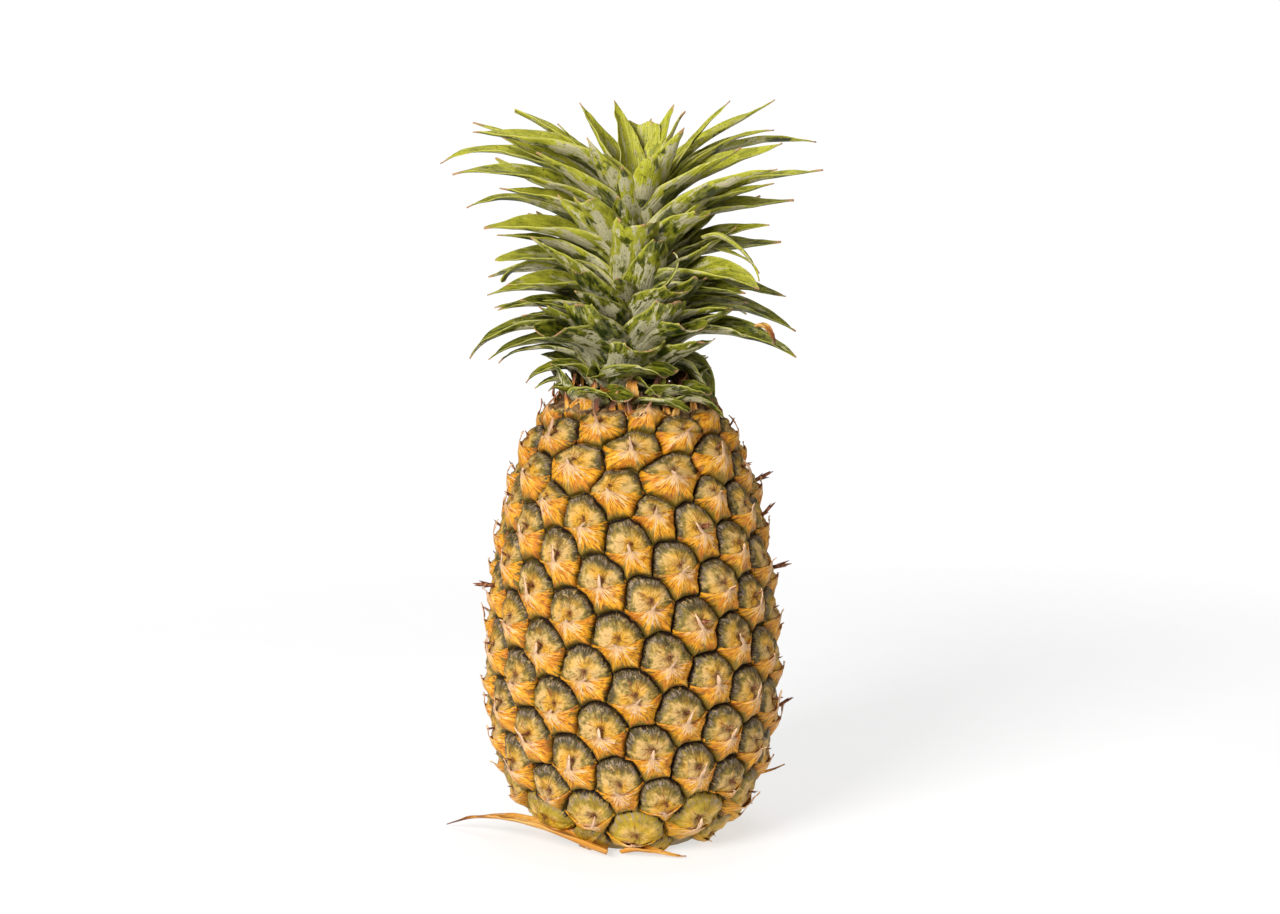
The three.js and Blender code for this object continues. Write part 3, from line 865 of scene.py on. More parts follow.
w, given, end = new_group("sepal_colour", EYE_TAKES, EYE_GIVES)
at = use_group(w, "eye_measures", {"Place": given["Place"], "Seed": given["Seed"]})
uneven = w.line(at["Blotches"], 1.2, -0.6)
rays = w.line(at["Pit rays"], 1.0, -0.5)
folded = w.vector("ABSOLUTE", at["Disc"])
from_lobe = w.vector("DISTANCE", folded, (0.4, 0.26, 0.0), output="Value")
reach = w.line(from_lobe, 0.7, w.times(at["Radius"], 0.55))
reach = w.plus(reach, w.line(rays, 0.5, uneven))
from_cream_to_green = [(0.0, SEPAL_CREAM), (0.4, SEPAL_CREAM), (0.58, SEPAL_GREEN)]
colour = w.ramp(reach, [*from_cream_to_green, (0.8, SEPAL_OLIVE), (1.0, SEPAL_OLIVE)])
apart = w.node("CombineXYZ", {"Z": w.times(given["Seed"], 17.0)})
seeded = w.vector("ADD", w.stretch(at["Disc"], (1, 1, 0)), apart)
yellow = w.rise(w.grain(seeded, 1.6), 0.42, 0.58, 0.0, 0.9)
colour = w.blend(w.times(yellow, w.rise(at["Radius"], 0.85, 0.3)), colour, SEPAL_YELLOW)
mottle = w.grain(seeded, 6.0, 4.0, 0.75)
colour = w.blend(w.rise(mottle, 0.5, 0.66, 0.0, 0.6), colour, SEPAL_OLIVE)
colour = w.blend(w.rise(mottle, 0.46, 0.34, 0.0, 0.7), colour, SEPAL_CREAM)
ripe = w.times(w.rise(given["Height"], 0.15, 0.05, 0.0, 0.5), w.rise(at["Blotches"], 0.36, 0.52))
colour = w.blend(ripe, colour, LOW_GREEN)
from_pit = w.vector("DISTANCE", at["Disc"], (*PIT, 0.0), output="Value")
near_pit = w.rise(from_pit, 0.6, 0.25)
colour = w.blend(w.times(w.rise(at["Pit rays"], 0.54, 0.64, 0.0, 0.8), near_pit), colour, RUST)
frosted = w.times(w.rise(at["Radius"], 0.66, 0.86), w.rise(at["Up"], 0.1, 0.5))
colour = w.blend(w.times(frosted, w.rise(at["Fine streaks"], 0.46, 0.62, 0.0, 0.8)), colour, FROST)
pit = w.rise(w.line(at["Pit rays"], 0.7, from_pit), 0.52, 0.38, 0.0, 0.85)
colour = w.blend(pit, colour, PIT_BROWN)
finish_group(w, end, {"Color": colour, "Relief": w.plus(mottle, at["Pit rays"])})
print("group:", w.tree.name)

# %% Material: fruit skin
# The nearly black seam colour is partly the seam's own dark dried edge and partly painted shade in the gap
# along each eye's top.
SEAM_AND_SHADE_BROWN = (0.022, 0.011, 0.007)
CORK_DARK, CORK, CORK_PALE = (0.05, 0.02, 0.01), (0.20, 0.11, 0.04), (0.45, 0.32, 0.12)
CORK_ABOVE, CORK_BELOW, CORK_WITHIN = 0.1885, 0.012, 0.0215

material, w, join = new_material("fruit_skin_finish", 0.5, 0.0004)
place = w.read("eye_place")
kind = w.parts(w.read("eye_kind"))
at = use_group(w, "eye_measures", {"Place": place, "Seed": kind["X"]})
eye = {"Place": place, "Seed": kind["X"], "Height": kind["Y"]}
bract_look = use_group(w, "bract_colour", eye)
sepal_look = use_group(w, "sepal_colour", eye)
above = w.rise(at["Up"], -0.1, 0.0)
colour = w.blend(above, bract_look["Color"], sepal_look["Color"])
uneven = w.line(at["Blotches"], 0.3, -0.15)
# The dark seam band is partly the seam's own dark dried edge and partly painted shade: it widens along the
# eye's top, in the gap under the eye above.
seam_and_shade_from = w.plus(w.rise(at["Up"], -0.3, 0.5, 0.97, 0.88), uneven)
seam_and_gap_shade = w.line(at["Fine streaks"], 0.3, w.sum("SUBTRACT", at["Radius"], seam_and_shade_from))
colour = w.blend(w.rise(seam_and_gap_shade, 0.185, 0.215), colour, SEAM_AND_SHADE_BROWN)
rough = w.rise(sepal_look["Relief"], 0.7, 1.3, 0.42, 0.62)
join(colour, w.plus(sepal_look["Relief"], bract_look["Relief"]), rough)
fruit.data.materials.append(material)
cork_finish, w, join = new_material("cork_finish", 0.75, 0.0006)
place = w.node("TexCoord", output="Object")
flakes = w.grain(place, 300.0, 4.0, 0.65)
join(w.ramp(flakes, [(0.35, CORK_DARK), (0.52, CORK), (0.68, CORK_PALE)]), flakes)
fruit.data.materials.append(cork_finish)
for face in fruit.data.polygons:
    x, y, z = face.center
    underfoot = z < CORK_BELOW and math.hypot(x, y) < CORK_WITHIN
    face.material_index = int(underfoot or z > CORK_ABOVE)
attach(fruit, "root")
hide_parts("fruit")
print("material:", material.name)

# %% Material: bracts
PAPER, PAPER_PEACH, PAPER_BROWN = (0.88, 0.60, 0.40), (0.84, 0.54, 0.30), (0.50, 0.20, 0.07)
THREAD_BROWN = (0.42, 0.15, 0.05)

material, w, join = new_material("bract_finish", 0.55, 0.0004)
place = w.read("eye_place")
kind = w.parts(w.read("eye_kind"))
at = use_group(w, "eye_measures", {"Place": place, "Seed": kind["X"]})
look = use_group(w, "bract_colour", {"Place": place, "Seed": kind["X"], "Height": kind["Y"]})
up_tip = w.plus(at["Up"], w.line(at["Streaks"], 0.4, -0.1))
paper = w.ramp(up_tip, [(0, PINK_WHITE), (0.25, PAPER), (0.5, PAPER_PEACH), (0.75, PAPER_BROWN)])
aside = w.sum("ABSOLUTE", w.parts(at["Disc"])["X"])
narrow = w.rise(w.line(at["Streaks"], 0.3, aside), 0.5, 0.36)
in_tip = w.times(w.rise(at["Up"], -0.14, 0.0), narrow)
threads = w.grain(w.stretch(at["Disc"], (26.0, 2.5, 0.0)), 1.0, 3.0, 0.6)
paper = w.blend(w.rise(threads, 0.48, 0.66, 0.0, 0.8), paper, THREAD_BROWN)
colour = w.blend(in_tip, look["Color"], paper)
dry = w.rise(kind["Y"], 0.86, 0.97, 0.0, 0.8)
colour = w.blend(w.times(dry, w.rise(at["Up"], -0.3, 0.3)), colour, RUST)
join(colour, look["Relief"])
bracts.data.materials.append(material)
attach(bracts, "root")
print("material:", material.name)

# %% [markdown]
# ## One blade, bent into every leaf
# A crown leaf is a long blade, thick in the middle and thin at its edges, that clasps the stem with a
# broad root and rolls into a channel. One flat blade is modelled: a long grid, given its thickness. Each
# leaf is a copy of it, bent along the rings of its CAD leaf, so place, size and bend are the CAD's.

# %% Model the flat blade
BLADE_ACROSS, BLADE_ALONG = 12, 44

bpy.ops.object.select_all(action="DESELECT")
bpy.ops.mesh.primitive_grid_add(x_subdivisions=BLADE_ACROSS, y_subdivisions=BLADE_ALONG, size=2)
blade = bpy.context.object
take_up(blade)
bpy.ops.mesh.select_all(action="SELECT")
bpy.ops.transform.resize(value=(1, 0.5, 1), center_override=(0, -1, 0))
bpy.ops.transform.translate(value=(0, 1, 0.5))
bpy.ops.object.mode_set(mode="OBJECT")
walls = blade.modifiers.new("walls", "SOLIDIFY")
walls.thickness = 1
bpy.ops.object.modifier_apply(modifier=walls.name)
blade_points = np.array([v.co for v in blade.data.vertices])
blade_points[:, 2] = np.where(blade_points[:, 2] > 0, 1, -1)
blade_faces = [tuple(p.vertices) for p in blade.data.polygons]
blade_corners = np.concatenate([p.vertices for p in blade.data.polygons])
corner_face = np.concatenate([[p.normal.z > 0] * len(p.vertices) for p in blade.data.polygons])
bpy.data.objects.remove(blade)
print("blade corners:", len(blade_points), " faces:", len(blade_faces))

# %% Read a leaf's rings from its CAD node
STATIONS = np.append(np.arange(10), 9.7) / 9.7
RING_CORNERS, POLE_GAP, MIDDLE_ARC = 6, 1.5, 0.45
ARCS = np.linspace(0.05, 1.45, 141)
BLUNT_FROM, BLUNT_REACH, TIP_NARROWS = 0.4, 0.4, 0.3
STEM_X = -2


def is_pole(vertex):
    """Whether this corner is the point in which a blade's six-sided tube begins or ends."""
    around = [edge.other_vert(vertex) for edge in vertex.link_edges]
    return len(around) == RING_CORNERS and all(len(other.link_edges) == 5 for other in around)


def ring_layers(node):
    """The CAD blade's corners, ring by ring from its root to its tip, in millimetres."""
    mesh = bmesh.new()
    mesh.from_mesh(nodes[node].data)
    bmesh.ops.remove_doubles(mesh, verts=mesh.verts, dist=1e-5)
    pole = min(filter(is_pole, mesh.verts), key=lambda v: math.hypot(v.co.x - STEM_X * MM, v.co.y))
    layer, layers, seen = [pole], [], set()
    while layer:
        layers.append([np.array(v.co) / MM for v in layer])
        seen.update(layer)
        around = dict.fromkeys(edge.other_vert(v) for v in layer for edge in v.link_edges)
        layer = [v for v in around if v not in seen]
    mesh.free()
    pole, rings, rest = layers[0][0], layers[1:10], sum(layers[10:], [])
    if np.linalg.norm(pole - np.mean(rings[0], 0)) > POLE_GAP:
        middle = np.mean(rest, 0)
        rest.sort(key=lambda p: -np.linalg.norm(p - middle))
        return rest[RING_CORNERS], [rest[:RING_CORNERS], *rings[::-1]], pole
    ahead = np.mean(rings[-1], 0) - np.mean(rings[-2], 0)
    rest.sort(key=lambda p: p @ ahead)
    return pole, [*rings, rest[:RING_CORNERS]], rest[RING_CORNERS]


def blade_frame(node):
    """The spine, half widths and hollow radii of a CAD blade at the stations."""
    root, rings, tip = ring_layers(node)
    spine = np.array([root, *(np.mean(ring, 0) for ring in rings[1:]), tip])
    ahead = np.gradient(spine, axis=0)
    side = np.stack([-ahead[:, 1], ahead[:, 0], 0 * ahead[:, 0]], -1)
    side /= np.linalg.norm(side, axis=1)[:, None]
    inner = np.cross(ahead, side)
    inner /= np.linalg.norm(inner, axis=1)[:, None]
    halves, radii = [], []
    for k, ring in enumerate(rings):
        offsets = np.array(ring) - spine[k]
        across, rise = offsets @ side[k], offsets @ inner[k]
        ends = [across.argmin(), across.argmax()]
        middles = [i for i in range(RING_CORNERS) if i not in ends]
        reach = np.ptp(across) / 2
        sag = max(rise[ends].mean() - rise[middles].mean(), 0.01)
        fit = np.abs((np.cos(MIDDLE_ARC * ARCS) - np.cos(ARCS)) / np.sin(ARCS) - sag / reach)
        arc = ARCS[fit.argmin()]
        radii.append(reach / math.sin(arc))
        halves.append(radii[-1] * arc)
        spine[k] -= inner[k] * (rise[middles].mean() - radii[-1] * (1 - math.cos(MIDDLE_ARC * arc)))
    radii.append(radii[-1])
    if halves[-1] > BLUNT_FROM * max(halves):
        spine[-1] = spine[-2] + BLUNT_REACH * (spine[-2] - spine[-3])
    halves.append(halves[-1] * TIP_NARROWS)
    return {"spine": spine, "halves": np.array(halves), "radii": np.array(radii)}


leaf_names = sorted(name for name in nodes if name.startswith("crown_leaf_"))
leaf_frames = {name: blade_frame(name) for name in leaf_names}
widest = max(2 * leaf["halves"].max() for leaf in leaf_frames.values())
print("leaves read:", len(leaf_names), " widest, mm:", round(widest, 1))

# %% Bend the blade into a leaf
LEAF_THICKNESS, EDGE_THICKNESS = 1.5, 0.35
BROADER, SLENDER, STRAIGHTER = 1.45, 1.1, 0.75
STRAY, STRAY_SIZE, LOWEST = 0.4, 9, 0.2
MAP_SIZE, STEM_HEIGHT = 40, 75


def bent_blade(
    name, leaf, seed, cut, blunt, broader=BROADER, slender=SLENDER, thick=LEAF_THICKNESS, root_share=0.95
):
    """A copy of the blade along a leaf's frame.

    cut is how ragged its end is and blunt how wide, as a share of the blade. broader and slender widen
    the blades seen edge-on and face-on, and root_share narrows the root."""
    draw = random.Random(seed)
    u, v, face = blade_points.T
    ragged = 0.02 + 0.02 * np.sin(5 * u + 6.3 * draw.random()) + 0.008 * np.sin(19 * u + 6.3 * draw.random())
    v = v * (1 - cut * ragged)
    at = np.interp(v, STATIONS, np.arange(len(STATIONS)))
    way = leaf["spine"][-1] - leaf["spine"][0]
    sideways = way[0] ** 2 / (way[0] ** 2 + way[1] ** 2 + 1)
    in_front = (1 - sideways**2) * (way[1] < 0) * (broader > 1)
    chord = leaf["spine"][0] + STATIONS[:, None] * way
    bones = leaf["spine"] + STRAIGHTER * in_front * (chord - leaf["spine"])
    spine = spline(bones, at)
    ahead = spline(bones, np.clip(at + 0.1, 0, 10)) - spline(bones, np.clip(at - 0.1, 0, 10))
    ahead /= np.linalg.norm(ahead, axis=1)[:, None]
    side = np.stack([-ahead[:, 1], ahead[:, 0], 0 * u], -1)
    side /= np.linalg.norm(side, axis=1)[:, None]
    inner = np.cross(ahead, side)
    roll = draw.uniform(-12, 12) + 14 * sideways**3 * math.copysign(1, way[0]) * (way[1] < 15)
    roll = (math.radians(roll) * smoothstep(v, 0.1, 0.7) * (1 - cut))[:, None]
    side, inner = side * np.cos(roll) + inner * np.sin(roll), inner * np.cos(roll) - side * np.sin(roll)
    full = leaf["halves"].max() * (slender + (broader - slender) * sideways)
    taper = 1 - (1 - blunt) * v ** (1.5 + 0.7 * draw.random())
    half = full * np.maximum(taper, 0.02) * (root_share + (1 - root_share) * smoothstep(v, 0, 0.25))
    hug = smoothstep(v, 0, 0.35)
    widest_arc = 1.3 + (0.3 * in_front - 0.25) * hug - 0.4 * smoothstep(v, 0.5, 1)
    radius = np.maximum(np.interp(v, STATIONS, leaf["radii"]) * (1 - hug), half / widest_arc)
    arc = u * half / radius
    outward = inner * np.cos(arc)[:, None] - side * np.sin(arc)[:, None]
    length = np.linalg.norm(np.diff(leaf["spine"], axis=0), axis=1).sum()
    wave = min(length / 80, 1) * 0.5 * np.sin(6.3 * (v * draw.uniform(2, 4) + draw.random()))
    wave += 0.15 * np.sin(6.3 * (v * draw.uniform(6, 9) + draw.random()))
    depth = face / 2 * (EDGE_THICKNESS + (thick - EDGE_THICKNESS) * (1 - np.abs(u) ** 2.2)) * (1 - 0.6 * v)
    depth += wave * np.abs(u) ** 1.5 * np.sign(u) * smoothstep(v, 0.1, 0.4)
    points = spine + side * (radius * np.sin(arc))[:, None] + inner * (radius * (1 - np.cos(arc)))[:, None]
    points = points + outward * depth[:, None]
    stray = np.array([noise.noise_vector(Vector(p) / STRAY_SIZE) for p in points]) * STRAY
    points += stray * smoothstep(v, 0.1, 0.5)[:, None]
    points[:, 2] = np.maximum(points[:, 2], LOWEST)
    corner = blade_corners
    size = np.stack([u * half, v * length], -1)[corner] / MAP_SIZE + (draw.random() * 9, draw.random() * 9)
    share = np.stack([u / 2 + 0.5, v], -1)[corner]
    height = float(leaf["spine"][0][2])
    kind = np.stack([corner_face * 1.0, np.full(len(corner), draw.random())], -1)
    tier = np.full((len(corner), 2), ((height - FRUIT_HEIGHT) / STEM_HEIGHT, cut))
    maps = {"leaf_size": size, "leaf_share": share, "leaf_kind": kind, "leaf_tier": tier}
    return new_piece(name, points, blade_faces, **maps)


print("blade thickness, mm:", LEAF_THICKNESS)

# %% [markdown]
# ## The finish of a leaf
# Under its grey bloom a leaf is green. The bloom is thickest on the back and is rubbed off in patches,
# which show as dark or yellow green. Fine veins run along the blade, and the tips have dried to a pinkish
# brown. The edges are pale: partly their own yellow green, partly a painted highlight. The leaves at the
# top and the outer parts of each blade are the most yellow and the brightest: partly the young leaves'
# own colour, partly painted light where the top of the crown is lit more.

# %% Material: leaves
LEAF_GREEN, YOUNG_AND_LIT_GREEN = (0.185, 0.19, 0.011), (0.46, 0.45, 0.036)
DARK_GREEN = (0.011, 0.022, 0.002)
BLOOM, BACK_BLOOM, PALE_EDGE_AND_HIGHLIGHT = (0.46, 0.42, 0.21), (0.54, 0.49, 0.30), (0.54, 0.51, 0.11)
TIP_BROWN, TIP_DARK = (0.46, 0.24, 0.12), (0.05, 0.04, 0.02)

leaf_finish, w, join = new_material("leaf_finish", 0.5, 0.0005)
size = w.read("leaf_size")
share = w.parts(w.read("leaf_share"))
kind = w.parts(w.read("leaf_kind"))
tier = w.parts(w.read("leaf_tier"))
inside, seed = kind["X"], kind["Y"]
across = w.sum("ABSOLUTE", w.line(share["X"], 2.0, -1.0))
up = share["Y"]
patches = w.grain(w.stretch(size, (9.0, 3.2, 1)), 1.0, 5.0, 0.68)
smears = w.grain(w.stretch(size, (18.0, 4.0, 1)), 1.0, 5.0, 0.7)
veins = w.grain(w.stretch(size, (60.0, 1.6, 1)), 1.0, 2.0, 0.6)
specks = w.grain(w.stretch(size, (34.0, 22.0, 1)), 1.0, 3.0, 0.7)
# Leaves that grow higher on the stem and the outer parts of each blade are made yellower and brighter: partly
# the young leaves' own colour, partly painted light on the top of the crown.
young_and_lit = w.line(seed, 0.45, w.line(up, 0.3, tier["X"]))
green = w.blend(w.rise(young_and_lit, 0.4, 1.35), LEAF_GREEN, YOUNG_AND_LIT_GREEN)
darker = w.times(w.rise(smears, 0.45, 0.58, 0.0, 0.85), w.rise(young_and_lit, 1.3, 0.6, 0.3, 1.0))
green = w.blend(darker, green, DARK_GREEN)
bloom = w.blend(inside, BACK_BLOOM, BLOOM)
bloom = w.blend(w.rise(veins, 0.4, 0.65, 0.0, 0.3), bloom, LEAF_GREEN)
amount = w.line(inside, -0.12, 0.58)
amount = w.plus(amount, w.line(patches, -1.3, 0.65))
amount = w.plus(amount, w.line(smears, -0.6, 0.3))
amount = w.sum("SUBTRACT", amount, w.rise(up, 0.35, 0.95, 0.0, 0.13))
amount = w.sum("SUBTRACT", amount, w.rise(across, 0.55, 0.95, 0.0, 0.12))
colour = w.blend(w.rise(amount, 0.47, 0.53, 0.0, 0.95), green, bloom)
rubbed = w.grain(w.stretch(size, (2.6, 1.7, 1), (5, 2, 0)), 1.0, 4.0, 0.55)
rubbed = w.times(w.rise(rubbed, 0.51, 0.55, 0.0, 0.9), w.rise(across, 0.95, 0.7))
bared = w.blend(w.rise(smears, 0.4, 0.55), LEAF_GREEN, DARK_GREEN)
colour = w.blend(w.times(rubbed, w.rise(inside, 1.0, 0.0, 0.4, 1.0)), colour, bared)
colour = w.blend(w.rise(specks, 0.58, 0.66, 0.0, 0.8), colour, DARK_GREEN)
# The pale edges are partly the blade's own yellow-green margin and partly a painted highlight along them.
colour = w.blend(w.rise(across, 0.9, 0.99, 0.0, 0.6), colour, PALE_EDGE_AND_HIGHLIGHT)
dry = w.plus(up, w.line(smears, 0.22, -0.11))
dry = w.line(tier["Y"], -0.03, dry)
colour = w.blend(w.rise(dry, 0.93, 0.985, 0.0, 0.85), colour, TIP_BROWN)
colour = w.blend(w.rise(dry, 1.0, 1.05, 0.0, 0.8), colour, TIP_DARK)
ridges = w.line(veins, 1.0, w.times(smears, 0.5))
join(colour, ridges, w.rise(amount, 0.44, 0.56, 0.38, 0.62))
print("material:", leaf_finish.name)

# %% Lay the leaves
CUT_FROM, POINTED, CUT_WIDTH = 0.34, 0.14, 0.9


def finish_leaf(leaf, *replaced):
    leaf.data.materials.append(leaf_finish)
    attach(leaf, "root")
    if replaced:
        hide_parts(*replaced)


for number, name in enumerate(leaf_names):
    leaf = leaf_frames[name]
    blunt = (leaf["halves"][9] / leaf["halves"].max() - POINTED) / (1 - POINTED)
    is_cut = blunt > CUT_FROM
    label = name.replace("crown_leaf", "leaf")
    made = bent_blade(label, leaf, number + 1, float(is_cut), blunt * CUT_WIDTH * is_cut)
    finish_leaf(made, name)
    if is_cut:
        print("cut:", name, round(blunt, 2))
print("leaves laid:", len(leaf_names))

# %% [markdown]
# ## Leaves between the leaves
# A crown has more leaves than the CAD's clear set: thin young ones, torn ones and dried ones fill the
# gaps. Each is a row of the same facts that shape a CAD leaf, and a curve from the stem to its tip.

# %% More leaves
STEM_LEAN, CURVE_POINTS, EXTRA_SEED = 0.05, 101, 100
STEM_HEIGHTS, STEM_RADII = [190, 200, 206, 261], [30, 22, 14.5, 6]
LEAST_LIFT, LIFT_GAIN, LIFT_SPAN = 55, 19, 66


def stem_axis(z):
    """The middle of the leaning stem at a height."""
    return np.array([STEM_X + STEM_LEAN * (z - FRUIT_HEIGHT), 0, z])


def curve_frame(root, root_way, tip, tip_way, width, hollow):
    """The frame of a blade that leaves its root one way and ends at its tip another way."""
    handle = np.linalg.norm(tip - root) / 3
    leave, arrive = root + root_way * handle, tip - tip_way * handle
    t = np.linspace(0, 1, CURVE_POINTS)[:, None]
    curve = (1 - t) ** 3 * root + 3 * t * (1 - t) ** 2 * leave + 3 * t * t * (1 - t) * arrive + t**3 * tip
    along_curve = np.r_[0, np.cumsum(np.linalg.norm(np.diff(curve, axis=0), axis=1))]
    at = STATIONS * along_curve[-1]
    spine = np.stack([np.interp(at, along_curve, curve[:, k]) for k in range(3)], -1)
    radii = hollow + (width * 0.5 - hollow) * smoothstep(STATIONS, 0, 0.3)
    return {"spine": spine, "halves": np.full(11, width / 2), "radii": radii}


def slanted(azimuth, lift):
    """The direction that rises by lift towards an azimuth, both in degrees."""
    way = compass(math.radians(azimuth)) * math.cos(math.radians(lift))
    way[2] = math.sin(math.radians(lift))
    return way


def extra_frame(azimuth, root, reach, tip_height, tip_lift, width):
    """The frame of a leaf with its root on the stem; the higher the root, the steeper it leaves."""
    axis = stem_axis(root)
    lift = LEAST_LIFT + LIFT_GAIN * ((root - FRUIT_HEIGHT) / LIFT_SPAN)
    radius = float(np.interp(root, STEM_HEIGHTS, STEM_RADII))
    start = axis + compass(math.radians(azimuth)) * radius
    tip = axis + compass(math.radians(azimuth)) * reach
    tip[2] = tip_height
    return curve_frame(start, slanted(azimuth, lift), tip, slanted(azimuth, tip_lift), width, radius)


EXTRA_LEAVES = [
    # name, azimuth, root, reach, tip height, tip lift, width, blunt
    ("young_a", 60, 262, 24, 314, 50, 16, 0),
    ("young_b", 84, 263, 40, 318, 40, 9, 0),
    ("young_c", 100, 262, 60, 305, 0, 16, 0),
    ("young_d", 165, 266, 14, 309, 82, 24, 0.6),
    ("cut_a", -96, 264, 52, 313, 20, 17, 0.5),
    ("thin_a", -100, 266, 34, 308, 40, 7, 0),
    ("side_a", -112, 255, 54, 294, 10, 18, 0),
    ("torn_a", -100, 232, 56, 240, -70, 16, 0.4),
    ("side_b", -100, 222, 52, 238, -5, 15, 0),
    ("side_c", -84, 219, 58, 231, -15, 13, 0),
    ("side_d", -66, 216, 50, 229, -5, 16, 0),
    ("thin_b", -92, 204, 56, 206, -50, 9, 0),
    ("thin_c", -86, 197, 40, 196, -35, 7, 0),
    ("thin_d", -70, 197, 36, 196, -45, 6, 0),
    ("strip_a", 80, 246, 54, 246, -60, 6, 0),
    ("side_e", 84, 224, 50, 233, -15, 16, 0),
    ("base_e", -70, 193, 35, 208, 20, 16, 0),
    ("base_f", 84, 193, 36, 205, 0, 16, 0),
    ("base_g", 106, 193, 36, 208, 20, 18, 0),
    ("base_h", 128, 197, 41, 206, -5, 20, 0.3),
    ("base_i", 150, 199, 44, 211, 10, 21, 0),
    ("base_j", 174, 196, 40, 204, -20, 22, 0.4),
    ("base_k", 196, 199, 44, 212, 15, 21, 0),
    ("base_l", 220, 196, 40, 205, -15, 20, 0.3),
    ("base_m", 244, 198, 42, 208, 0, 19, 0),
    ("base_n", 266, 193, 36, 205, 0, 16, 0),
    ("tongue_a", -30, 208, 45, 236, 66, 29, 0.45),
    ("tongue_b", 40, 202, 51, 220, 30, 28, 0.4),
    ("tongue_c", -48, 208, 49, 234, 38, 25, 0.3),
    ("tongue_d", 62, 206, 49, 232, 35, 25, 0.25),
    ("tongue_e", 24, 210, 44, 237, 62, 29, 0.5),
    ("tongue_f", -32, 219, 41, 249, 46, 26, 0.35),
    ("tongue_g", 46, 217, 43, 246, 42, 26, 0.4),
    ("tongue_h", -66, 226, 46, 262, 40, 25, 0),
    ("tongue_i", 20, 228, 34, 262, 58, 26, 0.2),
    ("tongue_j", 74, 232, 46, 266, 40, 25, 0),
    ("tongue_k", -14, 240, 27, 280, 66, 25, 0),
    ("tongue_l", -52, 242, 40, 280, 50, 25, 0),
    ("tongue_m", 54, 242, 38, 280, 52, 26, 0),
    ("upper_a", -78, 252, 58, 282, 10, 26, 0),
    ("upper_b", 80, 250, 60, 284, 15, 26, 0),
    ("upper_c", -58, 258, 48, 298, 35, 27, 0),
    ("upper_d", 62, 260, 50, 300, 35, 27, 0),
    ("upper_e", -88, 262, 58, 304, 30, 24, 0),
    ("upper_f", 90, 262, 62, 300, 20, 24, 0),
    ("upper_g", 14, 262, 28, 296, 62, 27, 0.2),
    ("upper_h", -36, 262, 34, 304, 60, 25, 0),
    ("lower_a", -80, 236, 58, 262, 0, 24, 0),
    ("lower_b", 84, 238, 58, 266, 5, 24, 0),
    ("lower_c", -62, 214, 52, 236, 5, 24, 0),
    ("lower_d", 58, 212, 50, 232, 0, 24, 0.2),
    ("tongue_n", 140, 214, 44, 244, 40, 26, 0),
    ("tongue_o", 214, 220, 44, 250, 40, 26, 0),
    ("tongue_p", 172, 232, 40, 268, 50, 26, 0),
    ("tongue_q", 250, 236, 44, 270, 45, 25, 0),
    ("tongue_r", 110, 240, 42, 276, 50, 25, 0),
]
for number, (label, *facts, blunt) in enumerate(EXTRA_LEAVES):
    shape, cut = extra_frame(*facts), float(blunt > 0)
    finish_leaf(bent_blade("leaf_" + label, shape, EXTRA_SEED + number, cut, blunt, 1, 1))
print("more leaves:", len(EXTRA_LEAVES))

# %% [markdown]
# A few leaves are too odd for a rule: cut ones that rest on the fruit's shoulder, and withered strips
# that hang or curl. Each has its own root and tip, and the way it points at both.

# %% Odd leaves
ODD_LEAVES = [
    # name, root, root azimuth and lift, tip, tip azimuth and lift, width, blunt, hollow
    ("shoulder_a", (-4, -16, 198), (-20, 40), (15, -38, 205), (62, -22), 23, 0.75, 16),
    ("shoulder_b", (6, -24, 191), (20, 25), (24, -36, 190), (75, -35), 15, 0.3, 14),
    ("shoulder_c", (-14, -24, 192), (-30, 40), (-23, -35, 199), (-75, 10), 11, 0.3, 9),
    ("shoulder_d", (22, -20, 193), (50, 20), (38, -22, 186), (90, -60), 14, 0.2, 12),
    ("shoulder_e", (-18, -18, 192), (-10, 30), (-4, -39, 195), (20, -20), 22, 0.5, 18),
    ("shoulder_f", (14, -20, 194), (30, 30), (32, -32, 197), (60, -10), 22, 0.4, 16),
    ("shoulder_g", (-22, -12, 193), (-60, 30), (-34, -22, 199), (-80, 10), 14, 0.2, 10),
    ("needle", (54, -8, 28), (80, 10), (66, -8, 32), (80, 25), 1.6, 0, 2),
    ("hook_a", (30, -22, 262), (60, 30), (53, -26, 244), (95, -80), 6, 0, 5),
    ("curl_a", (8, -32, 240), (70, -10), (17, -33, 257), (-80, 20), 4, 0, 3),
    ("curl_b", (52, -15, 224), (85, 20), (60, -24, 217), (60, -80), 5, 0, 4),
]
ODD_DRY, ODD_SEED = ("curl_b", "needle"), 200
for number, (label, root, root_way, tip, tip_way, width, blunt, hollow) in enumerate(ODD_LEAVES):
    root, tip = np.array(root, float), np.array(tip, float)
    shape = curve_frame(root, slanted(*root_way), tip, slanted(*tip_way), width, hollow)
    made = bent_blade("leaf_" + label, shape, ODD_SEED + number, float(blunt > 0), blunt, 1, 1)
    if label not in ODD_DRY:
        finish_leaf(made)
print("odd leaves:", len(ODD_LEAVES))

# %% [markdown]
# ## Dry bracts
# Bracts that never belonged to an eye have dried on the fruit: three rings of small ones under the crown,
# and two long ones at the foot, which lie on the table. They are the same blade in a golden and rusty
# finish, which two dry strips among the odd leaves share. The small ones are joined into one piece.

# %% Material: dry bracts
STRAW, AMBER, BARK = (0.74, 0.42, 0.10), (0.60, 0.25, 0.02), (0.11, 0.035, 0.014)
DRY_BROWN, DRY_DARK, FIBRE_PALE = (0.24, 0.07, 0.02), (0.10, 0.035, 0.018), (0.80, 0.56, 0.30)

